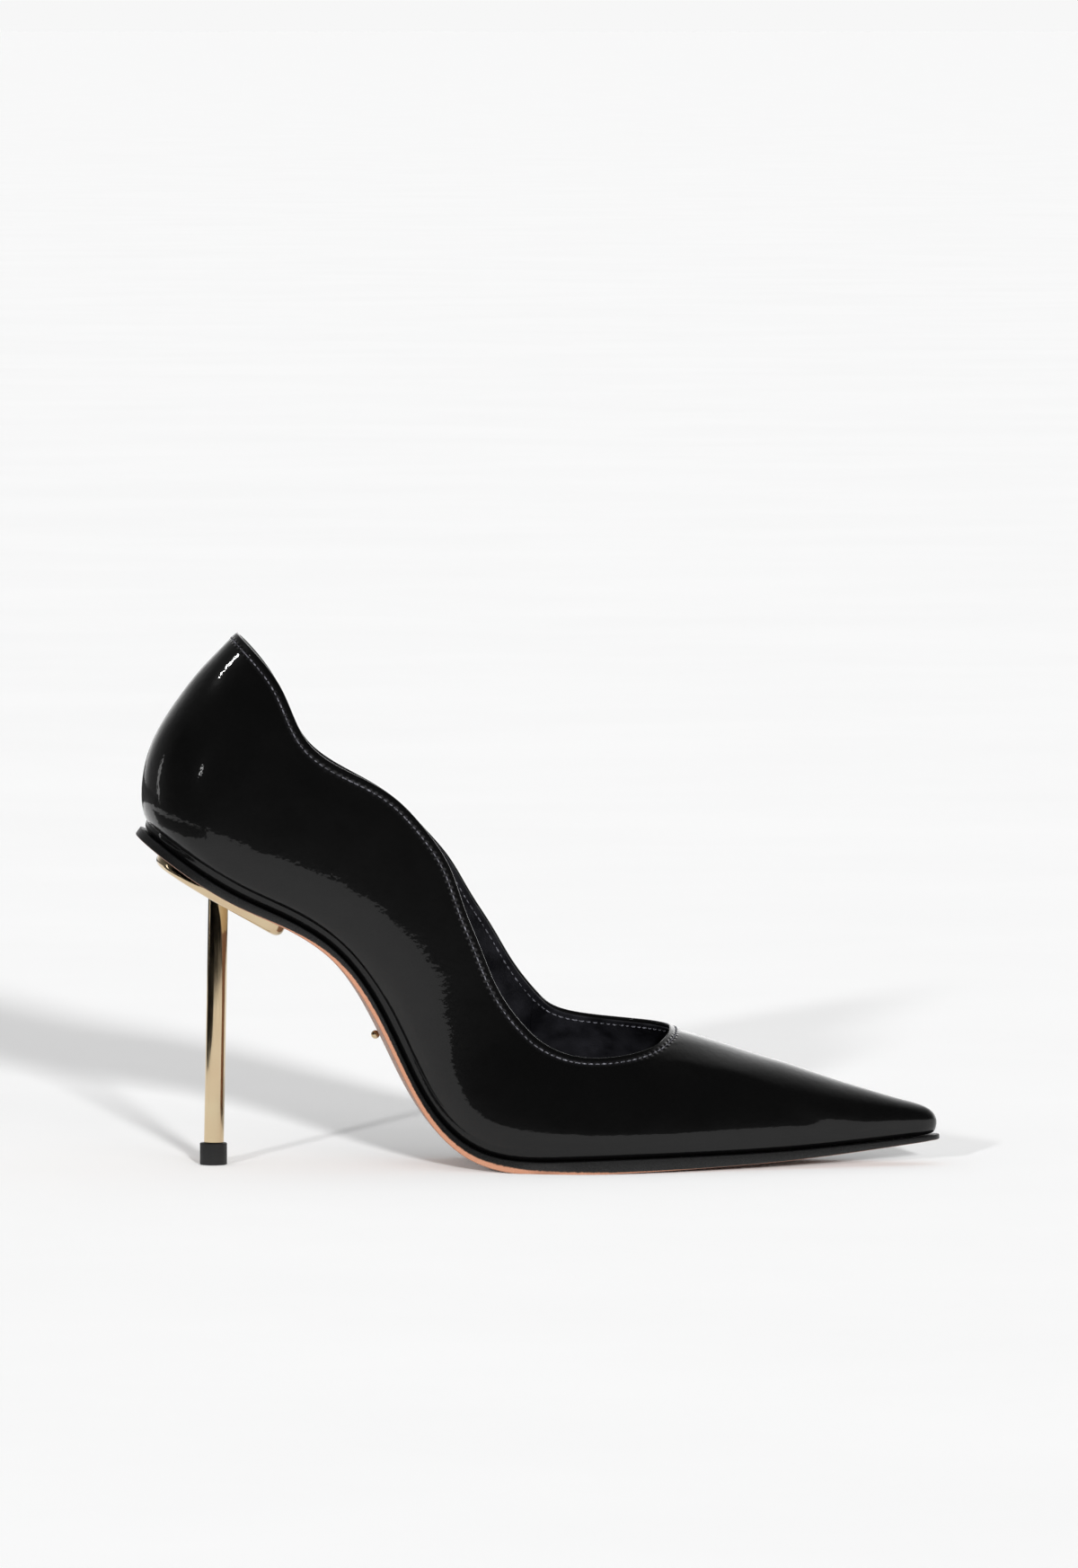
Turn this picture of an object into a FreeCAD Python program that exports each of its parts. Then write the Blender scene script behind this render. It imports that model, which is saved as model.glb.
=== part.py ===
import FreeCAD, Part
import math
import os
import re

import Sketcher
from FreeCAD import Placement, Rotation, Vector

# A high heel pump: a pointed patent court shoe on a slim gilt metal pin, built up the way a shoemaker does it,
# with every layer pulled over one last. Millimetres; +X towards the toe, +Z up, +Y the inner (medial) side of a
# right shoe. The origin is the middle of the heel tip's walking face, on the floor.

DIMENSIONS = [
    ("last_length", 234.0, "last, back of the heel to tip of the toe, along the floor"),
    ("heel_height", 104.0, "last's seat above the floor, at its very back"),
    ("toe_spring", 5.2, "last's toe tip above its ball"),
    ("pin_setback", 17.8, "foot of the heel pin in front of the last's back"),
    ("seat_width", 46.0, "last's bottom across the heel seat"),
    ("waist_width", 30.5, "last's bottom across the waist"),
    ("ball_width", 70.5, "last's bottom across the ball"),
    ("back_height", 60.9, "topline at the back seam, up the last"),
    ("quarter_height", 42.9, "topline over the instep, up the last"),
    ("throat_height", 31.8, "topline at the throat, up the last"),
    ("glue_line", 0.06, "between two layers"),
    ("cushion_ease", 0.12, "between a cushion and the sock over it"),
    ("lining_gauge", 0.7, "lining leather"),
    ("upper_gauge", 1.15, "patent leather"),
    ("counter_gauge", 1.1, "heel counter at its thickest"),
    ("puff_gauge", 0.7, "toe puff at its thickest"),
    ("lasting_margin", 10.0, "upper turned in under the board"),
    ("board_gauge", 1.8, "insole board"),
    ("board_inset", 0.4, "edge of the board inside the last's edge"),
    ("shank_gauge", 1.2, "steel shank"),
    ("shank_width", 11.0, "steel shank"),
    ("rivet_diameter", 3.0, "shank rivets"),
    ("sole_seat_gauge", 2.7, "outsole under the heel seat"),
    ("sole_waist_gauge", 4.0, "outsole along the middle of the waist"),
    ("sole_ball_gauge", 3.8, "outsole at the ball"),
    ("sole_tip_gauge", 1.6, "outsole at the toe"),
    ("sole_edge_gauge", 2.5, "black edge of the outsole in the waist"),
    ("sole_lip", 0.45, "outsole beyond the upper, at the sides"),
    ("heel_lip", 0.2, "outsole beyond the upper, at the back"),
    ("tread_wear", 0.1, "flat rubbed on the outsole where it stands"),
    ("sock_gauge", 0.8, "sock lining"),
    ("cushion_gauge", 2.2, "foam under the sock"),
    ("plate_gauge", 2.8, "heel plate, at the pin"),
    ("plate_length", 44.0, "heel plate"),
    ("plate_ahead", 23.1, "front of the heel plate in front of the pin"),
    ("plate_width", 39.0, "heel plate"),
    ("plate_front_width", 30.0, "heel plate at its straight front"),
    ("plate_corner", 5.0, "front corners of the heel plate, seen from below"),
    ("plate_round", 2.2, "bottom edges of the heel plate"),
    ("plate_tilt", 30.2, "slope of the heel plate, in degrees"),
    ("pin_diameter", 6.0, "heel pin"),
    ("pin_lean", 1.1, "forward lean of the heel pin, in degrees"),
    ("tip_diameter", 8.2, "heel tip"),
    ("tip_height", 6.6, "heel tip"),
    ("dowel_diameter", 3.0, "steel dowel of the heel tip"),
    ("dowel_length", 17.0, "steel dowel of the heel tip"),
    ("dowel_depth", 4.5, "dowel inside the heel tip"),
    ("fit_clearance", 0.05, "around the dowel, the pin and the screws"),
    ("screw_diameter", 3.0, "heel plate screws"),
    ("screw_head", 5.4, "head of the heel plate screws"),
    ("screw_bite", 1.7, "heel plate screws, into the plate"),
    ("screw_sunk", 0.3, "screw and rivet heads below the board's face"),
    ("hole_spare", 0.3, "blind holes beyond the screw or dowel"),
    ("rivet_head", 4.6, "heads of the shank rivets"),
    ("rivet_flange", 0.45, "heads of the shank rivets, thickness"),
    ("stud_diameter", 2.6, "gilt stud in the waist"),
    ("stud_peg", 1.2, "peg of the stud"),
    ("stud_sunk", 0.15, "ball of the stud into the sole"),
    ("stud_ahead", 49.9, "stud in front of the foot of the pin"),
]

doc = FreeCAD.newDocument("HighHeelPump")
sheet = doc.addObject("Spreadsheet::Sheet", "Dimensions")
for row, (alias, value, note) in enumerate(DIMENSIONS, start=1):
    sheet.set("A%d" % row, note)
    sheet.set("B%d" % row, str(value))
    sheet.setAlias("B%d" % row, alias)
doc.recompute()


def size(alias):
    return float(sheet.get(alias))


# ---- the stack under the foot, measured down from the last's bottom ---------------------------------------------

LINING_IN = size("glue_line")
LINING_OUT = LINING_IN + size("lining_gauge")
STIFF_IN = LINING_OUT + size("glue_line")
MARGIN_DROP = size("board_gauge") + size("glue_line")
SOLE_TOP = MARGIN_DROP + STIFF_IN + size("upper_gauge") + size("glue_line")
BALL_HEIGHT = SOLE_TOP + size("sole_ball_gauge") - size("tread_wear")


# ---- curves ----------------------------------------------------------------------------------------------


def smooth(pairs):
    """The natural cubic spline through (place, value) pairs, held level beyond its ends."""
    xs = [float(x) for x, _ in pairs]
    ys = [float(y) for _, y in pairs]
    steps = [b - a for a, b in zip(xs, xs[1:])]
    rises = [(b - a) / step for a, b, step in zip(ys, ys[1:], steps)]
    bends = [0.0] * len(xs)  # second derivatives, found by one sweep forward and one back
    carried = [(0.0, 0.0)]
    for i in range(1, len(xs) - 1):
        before = carried[-1]
        pivot = 2.0 * (steps[i - 1] + steps[i]) - steps[i - 1] * before[0]
        load = 6.0 * (rises[i] - rises[i - 1]) - steps[i - 1] * before[1]
        carried.append((steps[i] / pivot, load / pivot))
    for i in range(len(xs) - 2, 0, -1):
        bends[i] = carried[i][1] - carried[i][0] * bends[i + 1]

    def value(x):
        x = min(max(x, xs[0]), xs[-1])
        i = max(k for k in range(len(steps)) if x >= xs[k])
        u = (x - xs[i]) / steps[i]
        curve = ((1 - u) ** 3 - (1 - u)) * bends[i] + (u ** 3 - u) * bends[i + 1]
        return ys[i] * (1 - u) + ys[i + 1] * u + curve * steps[i] ** 2 / 6.0

    return value


def end_round(distance, reach):
    """0 at an end, 1 from `reach` inwards, as a quarter of an ellipse."""
    share = min(max(distance / reach, 0.0), 1.0)
    return math.sqrt(1.0 - (1.0 - share) ** 2)


def ease(x):
    """0 below 0, 1 above 1, smooth between."""
    x = min(max(x, 0.0), 1.0)
    return x * x * (3.0 - 2.0 * x)


# ---- the last: the form every layer is pulled over ----------------------------------------------------------

CLOSE = 1e-4  # how near a place found by halving has to come
MODEL_LENGTH = 234.0  # the tables below are for a last of this length and this rise
MODEL_RISE = 96.4
MODEL_RUN = 277.0  # the same last, measured along its bottom
BOTTOM = [  # along the floor from the back, and the share of the rise above the ball
    (0.0, 1.0), (13.4, 0.9015), (28.0, 0.810), (41.4, 0.745), (56.4, 0.646), (68.5, 0.494), (77.9, 0.306),
    (84.4, 0.175), (91.0, 0.085), (98.7, 0.0265), (108.5, 0.001), (123.8, 0.0), (144.8, 0.007)]
FOREPART = [(169.6, 0.22), (193.4, 0.37), (218.0, 0.72), (234.0, 1.0)]  # the same, in shares of the toe spring


def bottom_curve():
    stretch = size("last_length") / MODEL_LENGTH
    rise = size("heel_height") - BALL_HEIGHT
    points = [Vector(x * stretch - size("pin_setback"), 0, BALL_HEIGHT + share * rise)
              for x, share in BOTTOM]
    points += [Vector(x * stretch - size("pin_setback"), 0, BALL_HEIGHT + share * size("toe_spring"))
               for x, share in FOREPART]
    curve = Part.BSplineCurve()
    curve.interpolate(points)
    return curve


bottom = bottom_curve()
RUN = bottom.length()
STRETCH = RUN / MODEL_RUN


def on_bottom(s):
    """Place on the last's bottom at a distance along it, its tangent, and its normal pointing up."""
    inside = min(max(s, 0.0), RUN)
    at = bottom.parameterAtDistance(inside, bottom.FirstParameter)
    tangent = Vector(*bottom.tangent(at)[0])
    return bottom.value(at) + tangent * (s - inside), tangent, Vector(-tangent.z, 0, tangent.x)


def along(pairs):
    """A smooth function of the distance along the bottom, from a table for the model last."""
    return smooth([(place * STRETCH, value) for place, value in pairs])


def edge_of_bottom(seat_share, waist_share, ball_share):
    seat = size("seat_width") * seat_share
    waist = size("waist_width") * waist_share
    ball = size("ball_width") * ball_share
    return along([
        (0, seat * 0.95), (30, seat), (55, seat * 0.58 + waist * 0.45), (80, waist * 1.06), (103, waist),
        (124, waist * 0.66 + ball * 0.27), (144, ball * 0.80), (164, ball * 0.985), (183, ball * 0.985),
        (204, ball * 0.82), (225, ball * 0.59), (245, ball * 0.375), (262, ball * 0.215), (271, ball * 0.14),
        (277, ball * 0.10)])


LATERAL, MEDIAL = -1.0, 1.0
EDGE = {LATERAL: edge_of_bottom(0.51, 0.585, 0.485), MEDIAL: edge_of_bottom(0.49, 0.415, 0.515)}
SWELL = {  # how far the wall swells out past the edge of the bottom
    LATERAL: along([(0, 3.2), (30, 4.2), (55, 5.8), (80, 8.2), (105, 8.2), (125, 5.4), (145, 3.2), (165, 2.2),
                    (200, 1.6), (240, 1.2), (277, 0.5)]),
    MEDIAL: along([(0, 3.2), (30, 4.6), (55, 7.8), (80, 11.6), (105, 12.2), (125, 9.2), (145, 5.4), (165, 3.4),
                   (200, 2.4), (240, 1.3), (277, 0.5)])}
SWELL_RISE = along([(0, 7), (30, 7.2), (55, 7.6), (80, 8.2), (105, 8.4), (130, 6.0), (160, 3.4), (200, 2.8),
                    (240, 3.4), (277, 2.5)])
CROWN = along([(0, 1.5), (90, 1.45), (110, 1.6), (130, 1.85), (145, 1.85), (160, 1.6), (200, 1.6),
               (235, 2.1), (277, 2.15)])
RIDGE = along([(0, 102), (30, 100), (60, 88), (85, 72), (105, 64), (125, 59), (145, 54), (160, 49.0),
               (175, 43.2), (187, 37.2), (198, 31.8), (211, 27.2), (224, 22.5), (237, 17.3), (250, 11.9),
               (262, 7.2), (270, 4.2), (277, 2.4)])
LEAN = along([(0, 25), (17, 28), (34, 31), (50, 33.5), (66, 38.5), (86, 45), (106, 47.5), (121, 43), (132, 35),
              (141, 26), (151, 17), (166, 8), (187, 2), (198, 0), (277, 0)])
SWING = smooth([(0, 0), (0.07, -3.0), (0.145, -5.3), (0.31, -7.6), (0.55, -6.3), (0.74, -4.0), (0.9, -1.8),
                (1.0, 0.3)])
TOE_SHIFT = along([(0, 0), (150, 0), (200, 0.8), (277, 2.5)])
BACK_REACH = 25.0  # length of the round back and of the round toe of the outline
NOSE_REACH = 5.0
THROAT = 198.0 * STRETCH

MODEL_BACK = 60.9
MODEL_QUARTER = 42.9
TOPLINE = {  # along the bottom, and the height above it
    LATERAL: [(0, 60.9), (8, 58.9), (16.6, 54.8), (25, 47.9), (34, 44.4), (48.7, 43.7), (57, 42.9), (66.6, 40.5),
              (76, 38.1), (85.6, 34.3), (96, 32.4), (106, 31.5), (120.7, 32.7), (131.6, 33.9), (141, 33.8),
              (151, 31.2), (166.5, 26.4), (177, 25.4), (187.5, 26.3), (193, 28.3)],
    MEDIAL: [(0, 60.9), (8, 57.8), (16.6, 52.6), (25, 45.7), (34, 42.5), (48.7, 41.3), (57, 40.5), (66.6, 38.6),
             (76, 37.8), (85.6, 36.5), (96, 36.9), (106, 37.6), (120.7, 40.0), (131.6, 41.5), (141, 41.6),
             (151, 39.2), (166.5, 35.4), (177, 33.9), (187.5, 32.9), (193, 32.4)]}


def topline(side):
    """Height of the topline; in front of the throat, the height that the rings of the vamp climb to."""
    rows = []
    for place, height in TOPLINE[side]:
        back = max(0.0, 1.0 - place / 34.0)
        grown = size("back_height") / MODEL_BACK * back + size("quarter_height") / MODEL_QUARTER * (1.0 - back)
        rows.append((place, height * grown))
    return along(rows + [(place, size("throat_height")) for place in range(198, 284, 8)])


TOP = {side: topline(side) for side in (LATERAL, MEDIAL)}


def ridge_height(s):
    return RIDGE(s) * size("throat_height") / RIDGE(THROAT)


def lean(s):
    return math.radians(LEAN(s)) * (size("heel_height") - BALL_HEIGHT) / MODEL_RISE


def swing(height):
    """How far behind the bottom's back end the last reaches, at a height."""
    return SWING(height / size("back_height"))


def wall_width(side, s, height):
    ends = end_round(s - swing(height), BACK_REACH) * end_round(RUN - s, NOSE_REACH)
    swell = SWELL[side](s) * math.tanh(height / SWELL_RISE(s))
    closing = max(1.0 - (height / ridge_height(s)) ** CROWN(s), 0.0)
    return (EDGE[side](s) + swell) * ends * math.sqrt(closing)


def ring_front(level):
    """Where the ring of the wall at a level (0 at the bottom, 1 at the topline) reaches the vamp's ridge."""
    if level >= 1.0:
        return THROAT
    low, high = THROAT, RUN
    while high - low > CLOSE:
        middle = 0.5 * (low + high)
        if ridge_height(middle) * end_round(RUN - middle, NOSE_REACH) > level * size("throat_height"):
            low = middle
        else:
            high = middle
    return low


def spaced(share):
    """Spreads stations so that they crowd towards both ends, where the outlines turn."""
    return 0.5 * (1.0 - math.cos(math.pi * share))


def on_wall(side, share, level):
    back = swing(level * size("back_height"))
    s = back + (ring_front(level) - back) * spaced(share)
    height = level * TOP[side](s)
    foot, tangent, normal = on_bottom(s)
    tilt = lean(s)
    wide = side * wall_width(side, s, height) + TOE_SHIFT(s)
    return foot + Vector(math.sin(tilt), 0, math.cos(tilt)) * height + Vector(0, wide, 0)


def inset_width(side, s, inset, back_inset, toe_inset):
    """Half width at s of the bottom's outline drawn in by an inset."""
    narrow = EDGE[side](s) - min(inset, 0.5 * EDGE[side](s))
    reach = BACK_REACH - back_inset
    nose = max(NOSE_REACH - toe_inset, 2.0)
    return narrow * end_round(s - back_inset, reach) * end_round(RUN - toe_inset - s, nose)


def on_outline(side, share, inset, drop, back_inset=None, toe_inset=None):
    """A point of the bottom's outline, drawn in by an inset and let down by a drop."""
    back_inset = inset if back_inset is None else back_inset
    toe_inset = inset if toe_inset is None else toe_inset
    s = back_inset + (RUN - toe_inset - back_inset) * spaced(share)
    foot, tangent, normal = on_bottom(s)
    wide = side * inset_width(side, s, inset, back_inset, toe_inset) + TOE_SHIFT(s)
    return foot - normal * drop + Vector(0, wide, 0)


# ---- surfaces and solids --------------------------------------------------------------------------------------

DEGREE = 3


def drawn_out(row, before, after):
    """A row of leading points moved off its bend, so that the surface passes through the row itself."""
    return [point - (a - point * 2.0 + b) / 6.0 for point, a, b in zip(row, before, after)]


def spline_surface(grid):
    """A smooth surface that passes through the rows of a grid of points."""

    def knots(count):
        inner = count - DEGREE
        return [k / inner for k in range(inner + 1)], [DEGREE + 1] + [1] * (inner - 1) + [DEGREE + 1]

    us, u_counts = knots(len(grid))
    vs, v_counts = knots(len(grid[0]))
    middle = [drawn_out(row, before, after) for before, row, after in zip(grid, grid[1:], grid[2:])]
    surface = Part.BSplineSurface()
    surface.buildFromPolesMultsKnots([grid[0], *middle, grid[-1]], u_counts, v_counts, us, vs, False, False,
                                     DEGREE, DEGREE)
    return surface


def place_of(index, count):
    """Where along a spline surface the grid's row or column `index` pulls most."""
    inner = count - DEGREE
    knots = [min(max(index + k - DEGREE, 0), inner) / inner for k in (1, 2, 3)]
    low = int(index)
    if low == index:
        return sum(knots) / 3.0
    share = index - low
    return place_of(low, count) * (1 - share) + place_of(low + 1, count) * share


def ruled_between(one, other):
    """The straight-ruled surface from one spline edge to another with the same knots."""
    poles = [[a, b] for a, b in zip(one.getPoles(), other.getPoles())]
    surface = Part.BSplineSurface()
    surface.buildFromPolesMultsKnots(poles, one.getMultiplicities(), [2, 2], one.getKnots(), [0.0, 1.0],
                                     False, False, DEGREE, 1)
    return surface


def solid_between(inner, outer):
    """The solid between two spline surfaces of the same make."""
    faces = [inner.toShape(), outer.toShape()]
    u0, u1, v0, v1 = inner.bounds()
    for u in (u0, u1):
        faces.append(ruled_between(inner.uIso(u), outer.uIso(u)).toShape())
    for v in (v0, v1):
        faces.append(ruled_between(inner.vIso(v), outer.vIso(v)).toShape())
    shell = Part.makeShell(faces)
    shell.sewShape()
    solid = Part.makeSolid(Part.Shell(shell.Faces))
    if solid.Volume < 0:
        solid.reverse()
    return solid


def feature(label, shape):
    made = doc.addObject("Part::Feature", label)
    made.Label = label
    made.Shape = shape
    return made


# ---- the wall and the margins under it: one grid for all the leather layers -----------------------------------

STATIONS = 60  # per side
LEVELS = [0.0, 0.03, 0.07, 0.12, 0.18, 0.25, 0.33, 0.41, 0.5, 0.59, 0.68, 0.77, 0.85, 0.92, 0.97, 1.0]
MARGIN_ROWS = 4
GRID_ROWS = MARGIN_ROWS + 2 + len(LEVELS)
GRID_COLUMNS = 2 * STATIONS + 1


def wall_column(side, share):
    """Points from the inner edge of the lasting margin, round the edge of the board, up to the topline."""
    column = []
    for k in range(MARGIN_ROWS):
        inset = size("lasting_margin") * (1.0 - k / MARGIN_ROWS) ** 1.5
        column.append(on_outline(side, share, inset, MARGIN_DROP))
    column.append(on_outline(side, share, 0.0, MARGIN_DROP))
    column.append(on_outline(side, share, 0.0, 0.5 * MARGIN_DROP))
    column += [on_wall(side, share, level) for level in LEVELS]
    return column


def wall_grid():
    columns = [wall_column(LATERAL, i / STATIONS) for i in range(STATIONS + 1)]
    columns += [wall_column(MEDIAL, i / STATIONS) for i in range(STATIONS - 1, -1, -1)]
    return columns


BASE = wall_grid()


def grid_normals():
    """Outward direction at every point of the grid."""
    normals = []
    last = GRID_COLUMNS - 1
    for i in range(GRID_COLUMNS):
        before = BASE[i - 1] if i > 0 else BASE[last - 1]
        after = BASE[i + 1] if i < last else BASE[1]
        row = []
        for j in range(GRID_ROWS):
            up = BASE[i][min(j + 1, GRID_ROWS - 1)] - BASE[i][max(j - 1, 0)]
            row.append((after[j] - before[j]).cross(up).normalize())
        normals.append(row)
    return normals


NORMALS = grid_normals()
SEAM_GAP = 0.05


def layer(distance, from_toe=False):
    """The surface that lies outside the last by distance(i, j).

    It starts and ends at the back seam, or at the toe, for a piece that goes round the heel unbroken.
    """
    columns = range(GRID_COLUMNS)
    seam = {0: -SEAM_GAP, GRID_COLUMNS - 1: SEAM_GAP}
    if from_toe:
        columns = [*range(STATIONS, GRID_COLUMNS - 1), *range(STATIONS + 1)]
        seam = {}
    return spline_surface([[BASE[i][j] + NORMALS[i][j] * distance(i, j) + Vector(0, seam.get(i, 0.0), 0)
                            for j in range(GRID_ROWS)] for i in columns])


def piece_of(surface, columns, rows):
    """The part of a layer's surface between two columns and between two rows of the grid."""
    part = surface.copy()
    part.segment(place_of(columns[0], GRID_COLUMNS), place_of(columns[1], GRID_COLUMNS),
                 place_of(rows[0], GRID_ROWS), place_of(rows[1], GRID_ROWS))
    return part


# ---- the leather layers ---------------------------------------------------------------------------------------

COUNTER_SPAN = (-0.2, 0.1, 0.40, 0.12)  # start, rise, end and fall, in shares of the ring from the back
COUNTER_LEVELS = (-0.02, 0.08, 0.90, 0.2)
PUFF_SPAN = (0.78, 0.06, 1.2, 0.1)
PUFF_LEVELS = (-0.02, 0.08, 0.74, 0.16)
SKIVED = 0.42  # where a stiffener's edge lies on the rise of its bump


def bump(i, j, span, levels):
    """Share of a stiffener's thickness at a point of the grid, fading out past its edges."""
    if j < MARGIN_ROWS + 2:
        return 0.0
    along_ring = min(i, GRID_COLUMNS - 1 - i) / STATIONS
    level = LEVELS[j - MARGIN_ROWS - 2]
    return ease(min((along_ring - span[0]) / span[1], (span[2] - along_ring) / span[3],
                    (level - levels[0]) / levels[1], (levels[2] - level) / levels[3]))


def stiffening(i, j):
    return (size("counter_gauge") * bump(i, j, COUNTER_SPAN, COUNTER_LEVELS)
            + size("puff_gauge") * bump(i, j, PUFF_SPAN, PUFF_LEVELS))


def under_upper(i, j):
    """Inside face of the upper: over the lining, and over a stiffener where one lies."""
    room = stiffening(i, j)
    return STIFF_IN + room + size("glue_line") * min(1.0, 4.0 * room)


def row_of(level):
    """The grid's row at a level, between rows if need be."""
    k = max(n for n in range(len(LEVELS) - 1) if level >= LEVELS[n])
    return MARGIN_ROWS + 2 + k + (level - LEVELS[k]) / (LEVELS[k + 1] - LEVELS[k])


def stiffener_rows(levels):
    return row_of(max(levels[0] + SKIVED * levels[1], 0.01)), row_of(levels[2] - SKIVED * levels[3])


def skin(label, inner, outer, columns, rows):
    return feature(label, solid_between(piece_of(inner, columns, rows), piece_of(outer, columns, rows)))


LAST_COLUMN = GRID_COLUMNS - 1
ALL_ROWS = (0, GRID_ROWS - 1)
GRIP_EDGE = 22.0  # columns from the back seam to the join of heel grip and quarter lining
VAMP_EDGE = 36.0  # columns from the back seam to the join of quarter and vamp lining
JOIN = 0.03  # columns left open at a join

skin("upper_wholecut", layer(under_upper), layer(lambda i, j: under_upper(i, j) + size("upper_gauge")),
     (0, LAST_COLUMN), ALL_ROWS)

lining_in = layer(lambda i, j: LINING_IN)
lining_out = layer(lambda i, j: LINING_OUT)
skin("quarter_lining_lateral", lining_in, lining_out, (GRIP_EDGE + JOIN, VAMP_EDGE), ALL_ROWS)
skin("vamp_lining", lining_in, lining_out, (VAMP_EDGE + JOIN, LAST_COLUMN - VAMP_EDGE - JOIN), ALL_ROWS)
skin("quarter_lining_medial", lining_in, lining_out,
     (LAST_COLUMN - VAMP_EDGE, LAST_COLUMN - GRIP_EDGE - JOIN), ALL_ROWS)
skin("heel_grip_lining", layer(lambda i, j: LINING_IN, from_toe=True), layer(lambda i, j: LINING_OUT, from_toe=True),
     (STATIONS - GRIP_EDGE, STATIONS + GRIP_EDGE), ALL_ROWS)

counter_reach = STATIONS * (COUNTER_SPAN[2] - SKIVED * COUNTER_SPAN[3])
skin("heel_counter", layer(lambda i, j: STIFF_IN, from_toe=True),
     layer(lambda i, j: STIFF_IN + stiffening(i, j), from_toe=True),
     (STATIONS - counter_reach, STATIONS + counter_reach), stiffener_rows(COUNTER_LEVELS))
puff_start = STATIONS * (PUFF_SPAN[0] + SKIVED * PUFF_SPAN[1])
skin("toe_puff", layer(lambda i, j: STIFF_IN), layer(lambda i, j: STIFF_IN + stiffening(i, j)),
     (puff_start, LAST_COLUMN - puff_start), stiffener_rows(PUFF_LEVELS))


# ---- plates: the board, the soles and what lies between them --------------------------------------------------

ACROSS = 8  # steps from one edge of a plate to the other
SOFT_ACROSS = 24  # the same, for what swells over the cushions
END_CUT = 0.012  # share of a plate's length, in stations, where its round end is cut blunt


def plate_surface(start, end, width, drop, blunt=END_CUT, across=ACROSS):
    """A sheet along the bottom: width(side, s) gives its edges, drop(s, q) how far it lies below the last."""
    grid = []
    for i in range(STATIONS + 1):
        s = start + (end - start) * spaced(blunt + (1.0 - 2.0 * blunt) * i / STATIONS)
        foot, tangent, normal = on_bottom(s)
        row = []
        for k in range(across + 1):
            q = 2.0 * k / across - 1.0
            y = q * width(LATERAL if q < 0 else MEDIAL, s) + TOE_SHIFT(s)
            row.append(foot - normal * drop(s, q) + Vector(0, y, 0))
        grid.append(row)
    return spline_surface(grid)


def plate(start, end, width, top, under, blunt=END_CUT, across=ACROSS):
    return solid_between(plate_surface(start, end, width, top, blunt, across),
                         plate_surface(start, end, width, under, blunt, across))


def inset_edge(inset, back_inset=None, toe_inset=None, spare=0.0):
    """Ends and width of a plate whose outline is the bottom's, drawn in by an inset."""
    back = inset if back_inset is None else back_inset
    toe = inset if toe_inset is None else toe_inset
    return back, RUN - toe, lambda side, s: max(inset_width(side, s, inset, back, toe) - spare, 0.3)


def strip_edge(start, end, half_width, reach):
    """Ends and width of a strip with round ends."""
    return start, end, lambda side, s: half_width(side, s) * end_round(s - start, reach) * end_round(end - s, reach)


# insole: a flexible forepart and a stiff shank board behind it, joined at the ball
BOARD_JOIN = 150.0 * STRETCH
JOIN_WIDTH = 0.1
board_start, board_end, board_width = inset_edge(size("board_inset"))


def level_at(depth):
    return lambda s, q: depth


def board(start, end):
    return plate(start, end, board_width, level_at(0.0), level_at(size("board_gauge")))


# outsole
SOLE_OVER = STIFF_IN + size("upper_gauge") + size("sole_lip")
sole_middle = along([(0, size("sole_seat_gauge")), (50, size("sole_seat_gauge")), (85, size("sole_waist_gauge")),
                     (120, size("sole_waist_gauge")), (150, size("sole_ball_gauge")),
                     (200, size("sole_ball_gauge")), (277, size("sole_tip_gauge"))])
sole_rim = along([(0, size("sole_seat_gauge")), (50, size("sole_seat_gauge")), (85, size("sole_edge_gauge")),
                  (120, size("sole_edge_gauge")), (150, size("sole_ball_gauge")),
                  (200, size("sole_ball_gauge")), (277, size("sole_tip_gauge"))])


def sole_under(s, q):
    return SOLE_TOP + sole_rim(s) + (sole_middle(s) - sole_rim(s)) * (1.0 - q * q)


sole_start, sole_end, sole_width = inset_edge(-SOLE_OVER, -SOLE_OVER + size("sole_lip") - size("heel_lip"))
below_floor = Part.makeBox(2 * RUN, RUN, RUN, Vector(-RUN, -RUN / 2, -RUN))
sole_plate = plate(sole_start, sole_end, sole_width, level_at(SOLE_TOP), sole_under)
sole_blank = feature("outsole_blank", sole_plate.cut(below_floor).Solids[0])
over_heel = feature("over_heel", plate(sole_start, sole_end, sole_width, level_at(0.0), sole_under))


def sole_face_at(x):
    """Where the middle of the outsole's under face lies at an x: its distance along the bottom, and its height."""
    low, high = 0.0, THROAT
    while high - low > CLOSE:
        s = 0.5 * (low + high)
        foot, tangent, normal = on_bottom(s)
        if (foot - normal * sole_under(s, 0.0)).x < x:
            low = s
        else:
            high = s
    foot, tangent, normal = on_bottom(low)
    return low, foot - normal * sole_under(low, 0.0)


# steel shank and the cork that fills the space between the margins
SHANK_START = 20.0 * STRETCH
SHANK_END = 146.0 * STRETCH
shank_start, shank_end, shank_width = strip_edge(SHANK_START, SHANK_END, lambda side, s: size("shank_width") / 2, 4.0)
shank_blank = feature("shank_blank", plate(shank_start, shank_end, shank_width, level_at(size("board_gauge")),
                                           level_at(size("board_gauge") + size("shank_gauge"))))

FILLER_EASE = 0.5  # the cork stays this far inside the margins
FILLER_CUT = 0.03
filler_start, filler_end, filler_width = inset_edge(size("lasting_margin"), spare=FILLER_EASE)
filler_blank = feature("filler_blank", plate(
    filler_start + FILLER_EASE, filler_end - FILLER_EASE, filler_width, level_at(MARGIN_DROP),
    level_at(SOLE_TOP - size("glue_line")), blunt=FILLER_CUT))

board_blanks = [
    feature("insole_board_blank", board(BOARD_JOIN + JOIN_WIDTH, board_end)),
    feature("shank_board_blank", board(board_start, BOARD_JOIN)),
]


# ---- turned pieces --------------------------------------------------------------------------------------------


def origin_plane(body, role):
    return next(plane for plane in body.Origin.OriginFeatures if plane.Role == role)


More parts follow.
